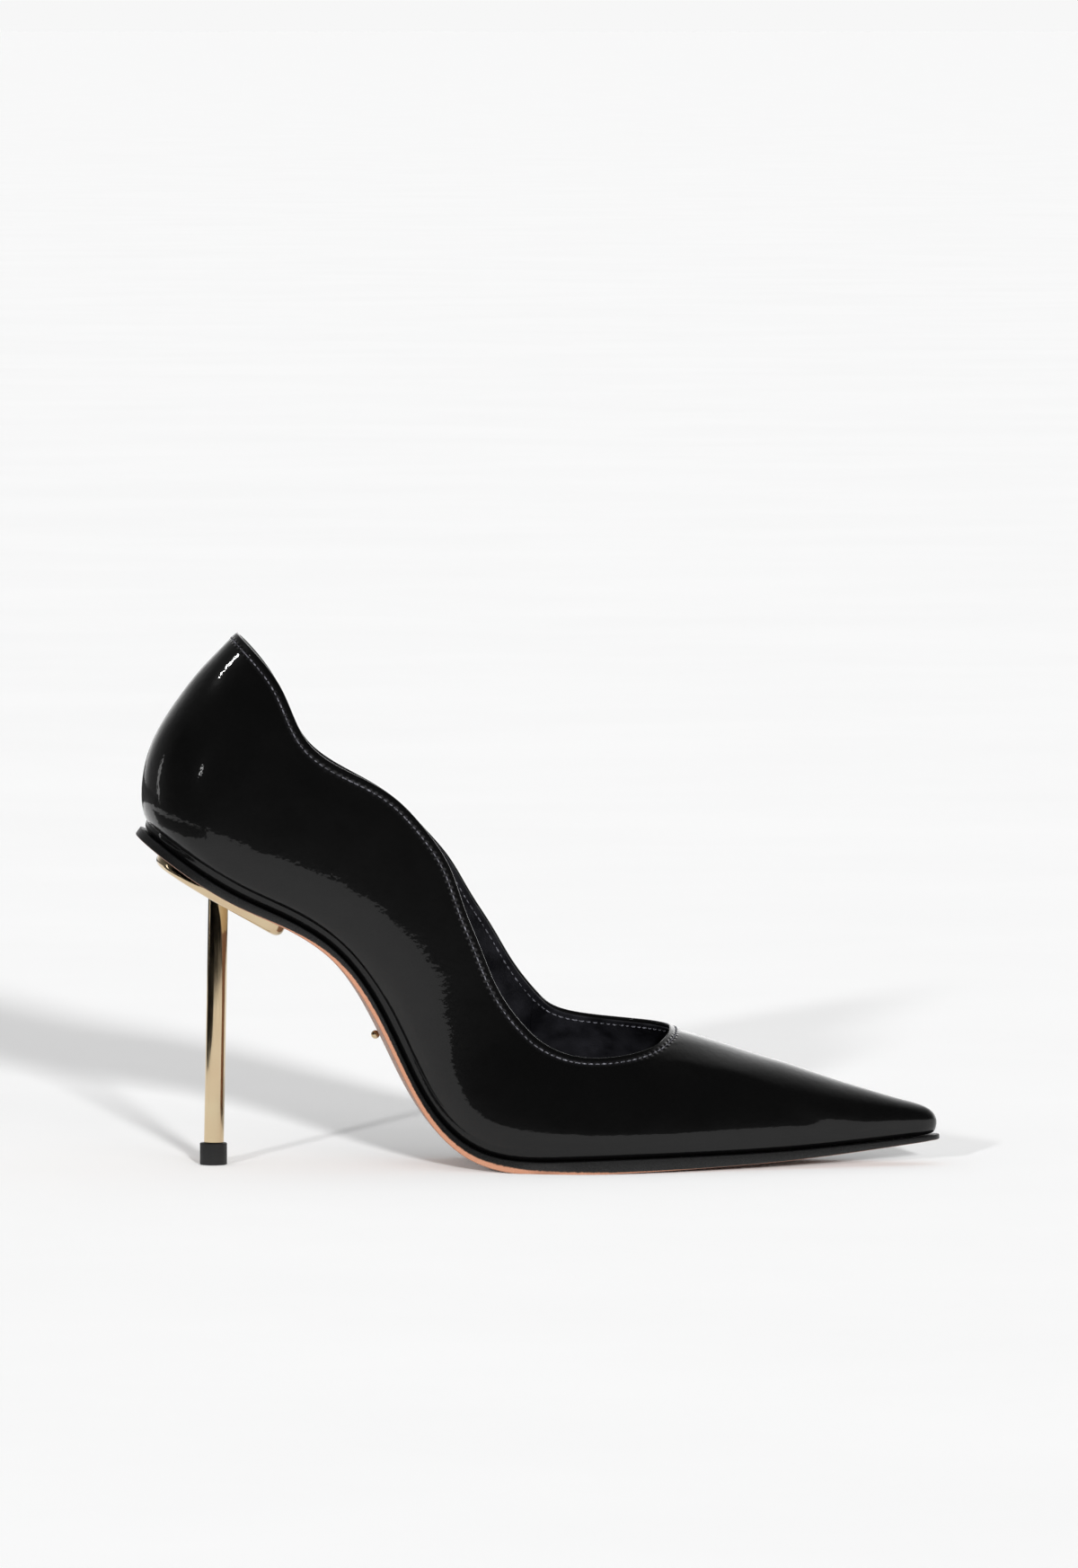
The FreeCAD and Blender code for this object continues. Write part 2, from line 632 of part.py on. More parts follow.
def turned(name, outline, placement):
    """A body turned round its own z axis. The outline's corners are (radius, height) formulas of the sheet."""
    body = doc.addObject("PartDesign::Body", name)
    sketch = body.newObject("Sketcher::SketchObject", name + "_profile")
    sketch.AttachmentSupport = [(origin_plane(body, "XZ_Plane"), "")]
    sketch.MapMode = "FlatFace"
    corners = [(value_of(r), value_of(z)) for r, z in outline]
    count = len(corners)
    for k in range(count):
        a, b = corners[k], corners[(k + 1) % count]
        sketch.addGeometry(Part.LineSegment(Vector(a[0], a[1], 0), Vector(b[0], b[1], 0)), False)
    for k in range(count):
        sketch.addConstraint(Sketcher.Constraint("Coincident", k, 2, (k + 1) % count, 1))
    for k, (r, z) in enumerate(outline):
        bind_distance(sketch, k, "DistanceX", r, -2)
        bind_distance(sketch, k, "DistanceY", z, -1)
    turn = body.newObject("PartDesign::Revolution", name + "_turn")
    turn.Profile = sketch
    turn.ReferenceAxis = (sketch, ["V_Axis"])
    turn.Angle = 360
    body.Placement = placement
    return body


def bound(formula):
    """A formula of the sheet's names in the document's own terms."""
    return re.sub(r"[a-z]\w*", lambda word: "Dimensions." + word.group(), formula)


def value_of(formula):
    return float(sheet.evalExpression(bound(formula)))


def bind_distance(sketch, line, kind, formula, axis):
    """Fix the start of a line at a distance from an axis of the sketch, bound to the sheet."""
    if formula == "0":
        sketch.addConstraint(Sketcher.Constraint("PointOnObject", line, 1, axis))
        return
    index = sketch.addConstraint(Sketcher.Constraint(kind, -1, 1, line, 1, value_of(formula)))
    sketch.setExpression("Constraints[%d]" % index, bound(formula))


# ---- where the heel stands ------------------------------------------------------------------------------------

lean_turn = Rotation(Vector(0, 1, 0), size("pin_lean"))
pin_axis = lean_turn.multVec(Vector(0, 0, 1))
pin_seat = Vector(0, 0, size("heel_height"))
for _ in range(8):
    pin_seat = sole_face_at(pin_seat.z * pin_axis.x / pin_axis.z)[1]

plate_turn = Rotation(Vector(0, 1, 0), size("plate_tilt"))
plate_up = plate_turn.multVec(Vector(0, 0, 1))
plate_forward = plate_turn.multVec(Vector(1, 0, 0))
plate_origin = pin_seat - plate_up * size("plate_gauge")


def derive(alias, value, note):
    """Add a size that follows from the others to the sheet."""
    row = len(DIMENSIONS) + 2 + len(derived)
    sheet.set("A%d" % row, note)
    sheet.set("B%d" % row, "%.4f" % value)
    sheet.setAlias("B%d" % row, alias)
    derived.append(alias)
    doc.recompute()


derived = []
derive("pin_reach", pin_seat.Length, "foot of the shoe's heel to the outsole, along the pin")
derive("over_pin", SOLE_TOP + size("sole_seat_gauge"), "heel plate's upper face to the board's upper face")


def board_over_plate(x):
    """Height of the board's upper face over the plate's lower one, at a place along the plate from the pin."""
    low, high = 0.0, THROAT
    while high - low > CLOSE:
        s = 0.5 * (low + high)
        if (on_bottom(s)[0] - plate_origin).dot(plate_forward) < x:
            low = s
        else:
            high = s
    return (on_bottom(low)[0] - plate_origin).dot(plate_up)


def part_cut(name, base, tool):
    made = doc.addObject("Part::Cut", name)
    made.Base = base
    made.Tool = tool
    return made


def part_group(name, members):
    made = doc.addObject("Part::Compound", name)
    made.Links = members
    return made


# ---- screws from the board into the heel plate, and rivets through the shank ------------------------------------

SCREW_SPOTS = [(-14.0, 0.0), (-3.0, -10.5), (-3.0, 10.5), (15.0, 0.0)]  # along and across the plate, from the pin
SCREW_END = "over_pin + screw_bite - screw_sunk"
SCREW_NECK = SCREW_END + " - (screw_head - screw_diameter) / 2"
HOLE_UP = 4.0  # how far a hole's tool stands out above the board

screws = []
screw_holes = []
for number, (ahead, across) in enumerate(SCREW_SPOTS, start=1):
    top = board_over_plate(ahead) - size("screw_sunk")
    foot = (plate_origin + plate_forward * ahead + Vector(0, across, 0)
            + plate_up * (top - value_of(SCREW_END)))
    screws.append(turned("screw_%d" % number, [
        ("0", "0"), ("screw_diameter / 2", "0"), ("screw_diameter / 2", SCREW_NECK),
        ("screw_head / 2", SCREW_END), ("0", SCREW_END)], Placement(foot, plate_turn)))
    hole_foot = foot - plate_up * size("hole_spare")
    wall = "screw_diameter / 2 + fit_clearance"
    head = "screw_head / 2 + fit_clearance"
    rise = " + hole_spare - fit_clearance"
    screw_holes.append(turned("screw_hole_%d" % number, [
        ("0", "0"), (wall, "0"), (wall, SCREW_NECK + rise), (head, SCREW_END + rise),
        (head, SCREW_END + " + %.1f" % HOLE_UP), ("0", SCREW_END + " + %.1f" % HOLE_UP)],
        Placement(hole_foot, plate_turn)))

RIVET_SPOTS = {"shank_rivet_rear": 60.0, "shank_rivet_front": 128.0}  # along the model last's bottom
RIVET_END = "board_gauge + shank_gauge + glue_line + rivet_flange - screw_sunk"
RIVET_NECK = RIVET_END + " - rivet_flange"

rivet_holes = []  # through the board and the shank
rivet_feet = []  # in the filler, round the lower heads
for name, place in RIVET_SPOTS.items():
    foot, tangent, normal = on_bottom(place * STRETCH)
    base = foot - normal * (value_of(RIVET_END) + size("screw_sunk"))
    stand = Placement(base, Rotation(Vector(0, 0, 1), normal))
    shaft = "rivet_diameter / 2"
    head = "rivet_head / 2"
    turned(name, [
        ("0", "0"), (head, "0"), (head, "rivet_flange"), (shaft, "rivet_flange"), (shaft, RIVET_NECK),
        (head, RIVET_NECK), (head, RIVET_END), ("0", RIVET_END)], stand)
    wall = shaft + " + fit_clearance"
    pocket = head + " + fit_clearance"
    neck = RIVET_NECK + " - fit_clearance"
    top = RIVET_END + " + screw_sunk * 2"
    middle = "rivet_flange + shank_gauge / 2"
    rivet_holes.append(turned(name + "_hole", [
        ("0", "0"), (wall, "0"), (wall, neck), (pocket, neck), (pocket, top), ("0", top)], stand))
    rivet_feet.append(turned(name + "_foot", [
        ("0", "0"), (pocket, "0"), (pocket, middle), ("0", middle)], stand))
doc.recompute()

board_holes = part_group("board_holes", screw_holes + rivet_holes)
part_group("heel_plate_screws", screws)
part_cut("shank_board", board_blanks[1], board_holes)
board_blanks[0].Label = "insole_board"
part_cut("steel_shank", shank_blank, board_holes)
filler_tool = doc.addObject("Part::MultiFuse", "filler_tool")
filler_tool.Shapes = [shank_blank, *screw_holes, *rivet_feet]
part_cut("bottom_filler", filler_blank, filler_tool)


# ---- heel plate -----------------------------------------------------------------------------------------------

plate_body = doc.addObject("PartDesign::Body", "heel_plate_blank")
plate_sketch = plate_body.newObject("Sketcher::SketchObject", "heel_plate_outline")
plate_sketch.AttachmentSupport = [(origin_plane(plate_body, "XY_Plane"), "")]
plate_sketch.MapMode = "FlatFace"
seat_radius = size("plate_width") / 2
seat_x = size("plate_ahead") - size("plate_length") + seat_radius
front_x = size("plate_ahead")
front_y = size("plate_front_width") / 2
plate_sketch.addGeometry([
    Part.ArcOfCircle(Part.Circle(Vector(seat_x, 0, 0), Vector(0, 0, 1), seat_radius), math.pi / 2, 1.5 * math.pi),
    Part.LineSegment(Vector(seat_x, -seat_radius, 0), Vector(front_x, -front_y, 0)),
    Part.LineSegment(Vector(front_x, -front_y, 0), Vector(front_x, front_y, 0)),
    Part.LineSegment(Vector(front_x, front_y, 0), Vector(seat_x, seat_radius, 0))], False)
plate_sketch.addConstraint([
    Sketcher.Constraint("Tangent", 0, 2, 1, 1),
    Sketcher.Constraint("Coincident", 1, 2, 2, 1),
    Sketcher.Constraint("Coincident", 2, 2, 3, 1),
    Sketcher.Constraint("Tangent", 3, 2, 0, 1),
    Sketcher.Constraint("PointOnObject", 0, 3, -1),
    Sketcher.Constraint("Symmetric", 2, 1, 2, 2, -1)])
for kind, places, formula in (
        ("Radius", (0,), "plate_width / 2"),
        ("DistanceX", (0, 3, 2, 1), "plate_length - plate_width / 2"),
        ("DistanceX", (-1, 1, 2, 1), "plate_ahead"),
        ("DistanceY", (2, 1, 2, 2), "plate_front_width")):
    index = plate_sketch.addConstraint(Sketcher.Constraint(kind, *places, value_of(formula)))
    plate_sketch.setExpression("Constraints[%d]" % index, bound(formula))
plate_pad = plate_body.newObject("PartDesign::Pad", "heel_plate_pad")
plate_pad.Profile = plate_sketch
plate_pad.setExpression("Length", bound("plate_gauge + over_pin * 0.9"))
doc.recompute()


THIN = 0.01  # boxes of edges this thin are taken as flat


def edges_where(shape, test):
    return ["Edge%d" % n for n, edge in enumerate(shape.Edges, start=1) if test(edge)]


def stands_in_front(edge):
    box = edge.BoundBox
    return box.XMin > front_x - THIN and box.YLength < THIN


def lies_below(edge):
    return edge.BoundBox.ZMax < THIN


plate_corners = plate_body.newObject("PartDesign::Fillet", "heel_plate_corners")
plate_corners.Base = (plate_pad, edges_where(plate_pad.Shape, stands_in_front))
plate_corners.setExpression("Radius", bound("plate_corner"))
doc.recompute()
plate_rounds = plate_body.newObject("PartDesign::Fillet", "heel_plate_rounds")
plate_rounds.Base = (plate_corners, edges_where(plate_corners.Shape, lies_below))
plate_rounds.setExpression("Radius", bound("plate_round"))
plate_body.Placement = Placement(plate_origin, plate_turn)

pin_bore = turned("pin_bore", [
    ("0", "0"), ("pin_diameter / 2 + fit_clearance", "0"), ("pin_diameter / 2 + fit_clearance", "pin_reach * 2"),
    ("0", "pin_reach * 2")], Placement(Vector(), lean_turn))
plate_tools = part_group("plate_tools", screw_holes)
plate_fitted = part_cut("heel_plate_fitted", plate_body, over_heel)
part_cut("heel_plate", part_cut("heel_plate_drilled", plate_fitted, plate_tools), pin_bore)


# ---- pin, tip and dowel ---------------------------------------------------------------------------------------

PIN_SPARE = 3.0  # the pin is made this much too long, then cut to the outsole
DOWEL_FOOT = "tip_height - dowel_depth"
BORE = "dowel_diameter / 2 + fit_clearance"

pin_body = turned("heel_pin_blank", [
    (BORE, "0"), ("pin_diameter / 2", "0"), ("pin_diameter / 2", "pin_reach - tip_height + %.1f" % PIN_SPARE),
    ("0", "pin_reach - tip_height + %.1f" % PIN_SPARE), ("0", "dowel_length - dowel_depth + hole_spare"),
    (BORE, "dowel_length - dowel_depth + hole_spare")],
    Placement(pin_axis * (size("tip_height") + size("glue_line")), lean_turn))
part_cut("heel_pin", pin_body, over_heel)

turned("heel_tip_dowel", [
    ("0", "0"), ("dowel_diameter / 2", "0"), ("dowel_diameter / 2", "dowel_length"), ("0", "dowel_length")],
    Placement(pin_axis * value_of(DOWEL_FOOT), lean_turn))

TIP_EDGE = 0.35
tip_body = turned("heel_tip_blank", [
    ("0", "0"), ("tip_diameter / 2 - %.2f" % TIP_EDGE, "0"), ("tip_diameter / 2", "%.2f" % TIP_EDGE),
    ("tip_diameter / 2", "tip_height - %.2f" % TIP_EDGE), ("tip_diameter / 2 - %.2f" % TIP_EDGE, "tip_height"),
    ("0", "tip_height")], Placement())
tip_bore = turned("heel_tip_bore", [
    ("0", "0"), (BORE, "0"), (BORE, "dowel_length"), ("0", "dowel_length")],
    Placement(pin_axis * (value_of(DOWEL_FOOT) - size("hole_spare")), lean_turn))
part_cut("heel_tip", tip_body, tip_bore)


# ---- stud -----------------------------------------------------------------------------------------------------

stud_s, stud_foot = sole_face_at(size("stud_ahead"))
stud_up = on_bottom(stud_s)[2]
stud_stand = Rotation(Vector(0, 0, 1), stud_up)
stud_ball = doc.addObject("Part::Sphere", "stud_ball")
stud_ball.setExpression("Radius", bound("stud_diameter / 2"))
stud_ball.Placement = Placement(stud_foot - stud_up * (size("stud_diameter") / 2 - size("stud_sunk")), stud_stand)
stud_peg = doc.addObject("Part::Cylinder", "stud_peg")
stud_peg.setExpression("Radius", bound("stud_peg / 2"))
stud_peg.setExpression("Height", bound("stud_diameter + sole_edge_gauge / 2"))
stud_peg.Placement = stud_ball.Placement
stud = doc.addObject("Part::Fuse", "sole_stud")
stud.Base = stud_ball
stud.Tool = stud_peg
sole_tools = part_group("sole_tools", screw_holes + [stud])
part_cut("outsole", sole_blank, sole_tools)


# ---- sock and cushions ----------------------------------------------------------------------------------------

EDGE_RUN = 0.35  # share of a cushion's reach over which its edge fades


def swell_of(start, end, run, reach):
    """Share of a cushion's thickness over the bottom: flat in the middle, fading towards its ends and edges."""
    def share(s, q):
        return ease(min((s - start) / run, (end - s) / run, (reach - abs(q)) / (EDGE_RUN * reach)))
    return share


CUSHIONS = {  # start, end and run-out along the bottom, and reach across as a share of the half width
    "heel_cushion": (4.0 * STRETCH, 62.0 * STRETCH, 16.0, 0.86),
    "ball_cushion": (132.0 * STRETCH, 206.0 * STRETCH, 24.0, 0.88)}
cushion_swell = {name: swell_of(*spread) for name, spread in CUSHIONS.items()}


def cushioning(s, q):
    return size("cushion_gauge") * sum(share(s, q) for share in cushion_swell.values())


def under_sock(s, q):
    rise = cushioning(s, q)
    return -(size("glue_line") + rise + size("cushion_ease") * min(1.0, 4.0 * rise))


def over_sock(s, q):
    return under_sock(s, q) - size("sock_gauge")


SOCK_INSET = 0.7
sock_start, sock_end, sock_width = inset_edge(SOCK_INSET, toe_inset=2.0)
feature("sock_lining", plate(sock_start, sock_end, sock_width, over_sock, under_sock, across=SOFT_ACROSS))


def cushion(name):
    start, end, run, reach = CUSHIONS[name]
    width_share = reach * (1.0 - SKIVED * EDGE_RUN)
    swell = cushion_swell[name]
    under = 0.5 * size("glue_line")
    return feature(name, plate(
        start + SKIVED * run, end - SKIVED * run, lambda side, s: width_share * sock_width(side, s),
        lambda s, q: -(under + size("cushion_gauge") * swell(s, q * width_share)), lambda s, q: -under,
        across=SOFT_ACROSS))


for name in CUSHIONS:
    cushion(name)


# ---- check and write ------------------------------------------------------------------------------------------

NODES = [
    "upper_wholecut", "vamp_lining", "quarter_lining_lateral", "quarter_lining_medial", "heel_grip_lining",
    "toe_puff", "heel_counter", "insole_board", "shank_board", "steel_shank", "shank_rivet_front",
    "shank_rivet_rear", "bottom_filler", "outsole", "sock_lining", "ball_cushion", "heel_cushion",
    "heel_plate", "heel_plate_screws", "heel_pin", "heel_tip", "heel_tip_dowel", "sole_stud",
]

doc.recompute()
for made in doc.Objects:
    if "Invalid" in made.State or "Error" in made.State:
        raise RuntimeError("%s did not build: %s" % (made.Label, made.State))

os.makedirs("parts", exist_ok=True)
for node in NODES:
    shape = doc.getObjectsByLabel(node)[0].Shape
    if shape.isNull() or not shape.isValid() or not shape.Solids:
        raise RuntimeError("%s has no valid solid" % node)
    shape.exportStep("parts/%s.step" % node)
    print("%-24s %2d solid(s) %10.1f mm3" % (node, len(shape.Solids), shape.Volume))
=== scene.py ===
import math
import bpy
import numpy as np
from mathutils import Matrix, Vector


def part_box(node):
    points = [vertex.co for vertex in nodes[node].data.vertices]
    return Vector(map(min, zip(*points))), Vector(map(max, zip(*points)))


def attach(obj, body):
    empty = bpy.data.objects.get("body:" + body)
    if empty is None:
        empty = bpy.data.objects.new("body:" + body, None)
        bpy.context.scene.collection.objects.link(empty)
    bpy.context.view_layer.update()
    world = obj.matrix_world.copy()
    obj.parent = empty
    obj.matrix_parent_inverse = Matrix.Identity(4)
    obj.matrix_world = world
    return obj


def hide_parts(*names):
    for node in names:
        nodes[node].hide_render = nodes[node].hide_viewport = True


# A pointed patent court shoe on a slim gilt pin. +X runs to the toe, +Z up and -Y to the outer side of a right foot.
# Shoemaker's sizes are in millimetres, and become metres where a mesh is made.

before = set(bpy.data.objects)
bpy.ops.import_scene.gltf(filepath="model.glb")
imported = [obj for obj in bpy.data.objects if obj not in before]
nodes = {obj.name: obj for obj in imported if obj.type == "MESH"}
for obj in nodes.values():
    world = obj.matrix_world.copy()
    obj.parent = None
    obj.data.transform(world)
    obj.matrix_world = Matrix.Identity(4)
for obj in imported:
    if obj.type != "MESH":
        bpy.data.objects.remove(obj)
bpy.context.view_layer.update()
scene = bpy.context.scene
mm = 0.001
print("frame loaded,", len(nodes), "nodes")


# the last that every layer is pulled over

last = {
    "length": 234.0, "heelHeight": 104.0, "toeSpring": 5.2, "setback": 17.8,
    "seatWidth": 46.0, "waistWidth": 30.5, "ballWidth": 70.5,
    "backHeight": 60.9, "quarterHeight": 42.9, "throatHeight": 31.8,
    "modelLength": 234.0, "modelRun": 277.0, "modelRise": 96.4, "modelBack": 60.9, "modelQuarter": 42.9,
    "backReach": 25.0, "noseReach": 5.0, "leastNose": 2.0, "backFades": 34.0, "throat": 198.0}

gauges = {
    "glue": 0.06, "ease": 0.12, "lining": 0.7, "upper": 1.15, "counter": 1.1, "puff": 0.7, "board": 1.8,
    "margin": 10.0, "soleSeat": 2.7, "soleWaist": 4.0, "soleBall": 3.8, "soleTip": 1.6, "soleEdge": 2.5,
    "soleLip": 0.45, "heelLip": 0.2, "treadWear": 0.1, "sock": 0.8, "cushion": 2.2}

liningIn = gauges["glue"]
liningOut = liningIn + gauges["lining"]
stiffIn = liningOut + gauges["glue"]
marginDrop = gauges["board"] + gauges["glue"]
soleTop = marginDrop + stiffIn + gauges["upper"] + gauges["glue"]
ballHeight = soleTop + gauges["soleBall"] - gauges["treadWear"]

bottomOutline = [  # along the floor from the back, and the share of the rise above the ball
    (0.0, 1.0), (13.4, 0.9015), (28.0, 0.810), (41.4, 0.745), (56.4, 0.646), (68.5, 0.494), (77.9, 0.306),
    (84.4, 0.175), (91.0, 0.085), (98.7, 0.0265), (108.5, 0.001), (123.8, 0.0), (144.8, 0.007)]
forepartOutline = [(169.6, 0.22), (193.4, 0.37), (218.0, 0.72), (234.0, 1.0)]  # in shares of the toe spring


def smooth(pairs):
    # the natural cubic spline through (place, value) pairs, level beyond its ends
    xs, ys = np.array(pairs, float).T
    steps = np.diff(xs)
    slopes = np.diff(ys) / steps
    rows = np.eye(len(xs))
    loads = np.zeros(len(xs))
    for i in range(1, len(xs) - 1):
        rows[i, i - 1:i + 2] = steps[i - 1], 2 * (steps[i - 1] + steps[i]), steps[i]
        loads[i] = 6 * (slopes[i] - slopes[i - 1])
    bends = np.linalg.solve(rows, loads)

    def value(x):
        x = np.clip(x, xs[0], xs[-1])
        i = np.clip(np.searchsorted(xs, x, side="right") - 1, 0, len(steps) - 1)
        u = (x - xs[i]) / steps[i]
        bend = ((1 - u) ** 3 - (1 - u)) * bends[i] + (u ** 3 - u) * bends[i + 1]
        return ys[i] * (1 - u) + ys[i + 1] * u + bend * steps[i] ** 2 / 6

    return value


def endRound(distance, reach):
    # 0 at an end, 1 from the reach inwards, as a quarter of an ellipse
    share = np.clip(distance / reach, 0, 1)
    return np.sqrt(1 - (1 - share) ** 2)


def ease(x):
    x = np.clip(x, 0, 1)
    return x * x * (3 - 2 * x)


stretch = last["length"] / last["modelLength"]
bottomRise = last["heelHeight"] - ballHeight
bottomPoints = [(x * stretch - last["setback"], ballHeight + share * bottomRise) for x, share in bottomOutline]
bottomPoints += [(x * stretch - last["setback"], ballHeight + share * last["toeSpring"])
                 for x, share in forepartOutline]
chords = np.concatenate([[0], np.cumsum(np.hypot(*np.diff(np.array(bottomPoints), axis=0).T))])
bottomX = smooth([(c, p[0]) for c, p in zip(chords, bottomPoints)])
bottomZ = smooth([(c, p[1]) for c, p in zip(chords, bottomPoints)])
fineChords = np.linspace(0, chords[-1], 8001)
fineX, fineZ = bottomX(fineChords), bottomZ(fineChords)
fineRun = np.concatenate([[0], np.cumsum(np.hypot(np.diff(fineX), np.diff(fineZ)))])
run = fineRun[-1]
runStretch = run / last["modelRun"]


def onBottom(s):
    # place on the last's bottom at a distance along it, and its tangent; the normal is (-tangentZ, tangentX)
    inside = np.clip(s, 0, run)
    at = np.interp(inside, fineRun, fineChords)
    step = 0.05
    ahead, behind = np.minimum(at + step, chords[-1]), np.maximum(at - step, 0)
    tx, tz = bottomX(ahead) - bottomX(behind), bottomZ(ahead) - bottomZ(behind)
    long = np.hypot(tx, tz)
    tx, tz = tx / long, tz / long
    return bottomX(at) + tx * (s - inside), bottomZ(at) + tz * (s - inside), tx, tz


def placed(s, y, drop):
    # a point across the last's bottom, let down square to it by a drop
    x, z, tx, tz = onBottom(s)
    return np.stack([x + tz * drop, y + 0 * x, z - tx * drop], axis=-1)


def alongRun(pairs):
    return smooth([(place * runStretch, value) for place, value in pairs])


def bottomEdge(seatShare, waistShare, ballShare):
    seat, waist = last["seatWidth"] * seatShare, last["waistWidth"] * waistShare
    ball = last["ballWidth"] * ballShare
    return alongRun([
        (0, seat * 0.95), (30, seat), (55, seat * 0.58 + waist * 0.45), (80, waist * 1.06), (103, waist),
        (124, waist * 0.66 + ball * 0.27), (144, ball * 0.80), (164, ball * 0.985), (183, ball * 0.985),
        (204, ball * 0.82), (225, ball * 0.59), (245, ball * 0.375), (262, ball * 0.215), (271, ball * 0.14),
        (277, ball * 0.10)])


lateral, medial = -1.0, 1.0
edgeWidth = {lateral: bottomEdge(0.51, 0.585, 0.485), medial: bottomEdge(0.49, 0.415, 0.515)}
swell = {  # how far the wall swells out past the edge of the bottom
    lateral: alongRun([(0, 3.2), (30, 4.2), (55, 5.8), (80, 8.2), (105, 8.2), (125, 5.4), (145, 3.2), (165, 2.2),
                       (200, 1.6), (240, 1.2), (277, 0.5)]),
    medial: alongRun([(0, 3.2), (30, 4.6), (55, 7.8), (80, 11.6), (105, 12.2), (125, 9.2), (145, 5.4),
                      (165, 3.4), (200, 2.4), (240, 1.3), (277, 0.5)])}
swellRise = alongRun([(0, 7), (30, 7.2), (55, 7.6), (80, 8.2), (105, 8.4), (130, 6.0), (160, 3.4), (200, 2.8),
                      (240, 3.4), (277, 2.5)])
crown = alongRun([(0, 1.5), (90, 1.45), (110, 1.6), (130, 1.85), (145, 1.85), (160, 1.6), (200, 1.6),
                  (235, 2.1), (277, 2.15)])
ridge = alongRun([(0, 102), (30, 100), (60, 88), (85, 72), (105, 64), (125, 59), (145, 54), (160, 49.0),
                  (175, 43.2), (187, 37.2), (198, 31.8), (211, 27.2), (224, 22.5), (237, 17.3), (250, 11.9),
                  (262, 7.2), (270, 4.2), (277, 2.4)])
leanDegrees = alongRun([(0, 25), (17, 28), (34, 31), (50, 33.5), (66, 38.5), (86, 45), (106, 47.5), (121, 43),
                        (132, 35), (141, 26), (151, 17), (166, 8), (187, 2), (198, 0), (277, 0)])
swingBack = smooth([(0, 0), (0.07, -3.0), (0.145, -5.3), (0.31, -7.6), (0.55, -6.3), (0.74, -4.0), (0.9, -1.8),
                    (1.0, 0.3)])
toeShift = alongRun([(0, 0), (150, 0), (200, 0.8), (277, 2.5)])
throat = last["throat"] * runStretch
toplineHeights = {  # along the bottom, and the height above it
    lateral: [(0, 60.9), (8, 58.9), (16.6, 54.8), (25, 47.9), (34, 44.4), (48.7, 43.7), (57, 42.9), (66.6, 40.5),
              (76, 38.1), (85.6, 34.3), (96, 32.4), (106, 31.5), (120.7, 32.7), (131.6, 33.9), (141, 33.8),
              (151, 31.2), (166.5, 26.4), (177, 25.4), (187.5, 26.3), (193, 28.3)],
    medial: [(0, 60.9), (8, 57.8), (16.6, 52.6), (25, 45.7), (34, 42.5), (48.7, 41.3), (57, 40.5), (66.6, 38.6),
             (76, 37.8), (85.6, 36.5), (96, 36.9), (106, 37.6), (120.7, 40.0), (131.6, 41.5), (141, 41.6),
             (151, 39.2), (166.5, 35.4), (177, 33.9), (187.5, 32.9), (193, 32.4)]}


def topline(side):
    rows = []
    for place, height in toplineHeights[side]:
        back = max(0.0, 1.0 - place / last["backFades"])
        grown = last["backHeight"] / last["modelBack"] * back
        grown += last["quarterHeight"] / last["modelQuarter"] * (1.0 - back)
        rows.append((place, height * grown))
    return alongRun(rows + [(place, last["throatHeight"]) for place in range(198, 284, 8)])


toplineOf = {side: topline(side) for side in (lateral, medial)}


def ridgeHeight(s):
    return ridge(s) * last["throatHeight"] / ridge(throat)


def wallWidth(side, s, height):
    ends = endRound(s - swingBack(height / last["backHeight"]), last["backReach"])
    ends = ends * endRound(run - s, last["noseReach"])
    out = swell[side](s) * np.tanh(height / swellRise(s))
    closing = np.maximum(1 - (height / ridgeHeight(s)) ** crown(s), 0)
    return (edgeWidth[side](s) + out) * ends * np.sqrt(closing)


def ringFront(level):
    # where the ring of the wall at a level, 0 at the bottom and 1 at the topline, reaches the vamp's ridge
    if level >= 1.0:
        return throat
    low, high = throat, run
    while high - low > 1e-4:
        middle = 0.5 * (low + high)
        if ridgeHeight(middle) * endRound(run - middle, last["noseReach"]) > level * last["throatHeight"]:
            low = middle
        else:
            high = middle
    return low


def spaced(share):
    return 0.5 * (1 - np.cos(math.pi * share))


def onWall(side, share, level):
    back = swingBack(level)
    s = back + (ringFront(level) - back) * spaced(share)
    height = level * toplineOf[side](s)
    x, z, tx, tz = onBottom(s)
    tilt = np.radians(leanDegrees(s)) * bottomRise / last["modelRise"]
    y = side * wallWidth(side, s, height) + toeShift(s)
    return np.stack([x + np.sin(tilt) * height, y, z + np.cos(tilt) * height], axis=-1)


def insetWidth(side, s, inset, backInset, toeInset):
    # half width of the bottom's outline drawn in by an inset
    narrow = edgeWidth[side](s) - np.minimum(inset, 0.5 * edgeWidth[side](s))
    nose = max(last["noseReach"] - toeInset, last["leastNose"])
    return narrow * endRound(s - backInset, last["backReach"] - backInset) * endRound(run - toeInset - s, nose)


def onOutline(side, share, inset, drop):
    s = inset + (run - 2 * inset) * spaced(share)
    return placed(s, side * insetWidth(side, s, inset, inset, inset) + toeShift(s), drop)


# smooth sheets through a grid of points

stations = 60  # per side of the shoe
levels = [0.0, 0.03, 0.07, 0.12, 0.18, 0.25, 0.33, 0.41, 0.5, 0.59, 0.68, 0.77, 0.85, 0.92, 0.97, 1.0]
marginRows = 4
gridRows = marginRows + 2 + len(levels)
lastColumn = 2 * stations
lastRow = gridRows - 1
degree = 3


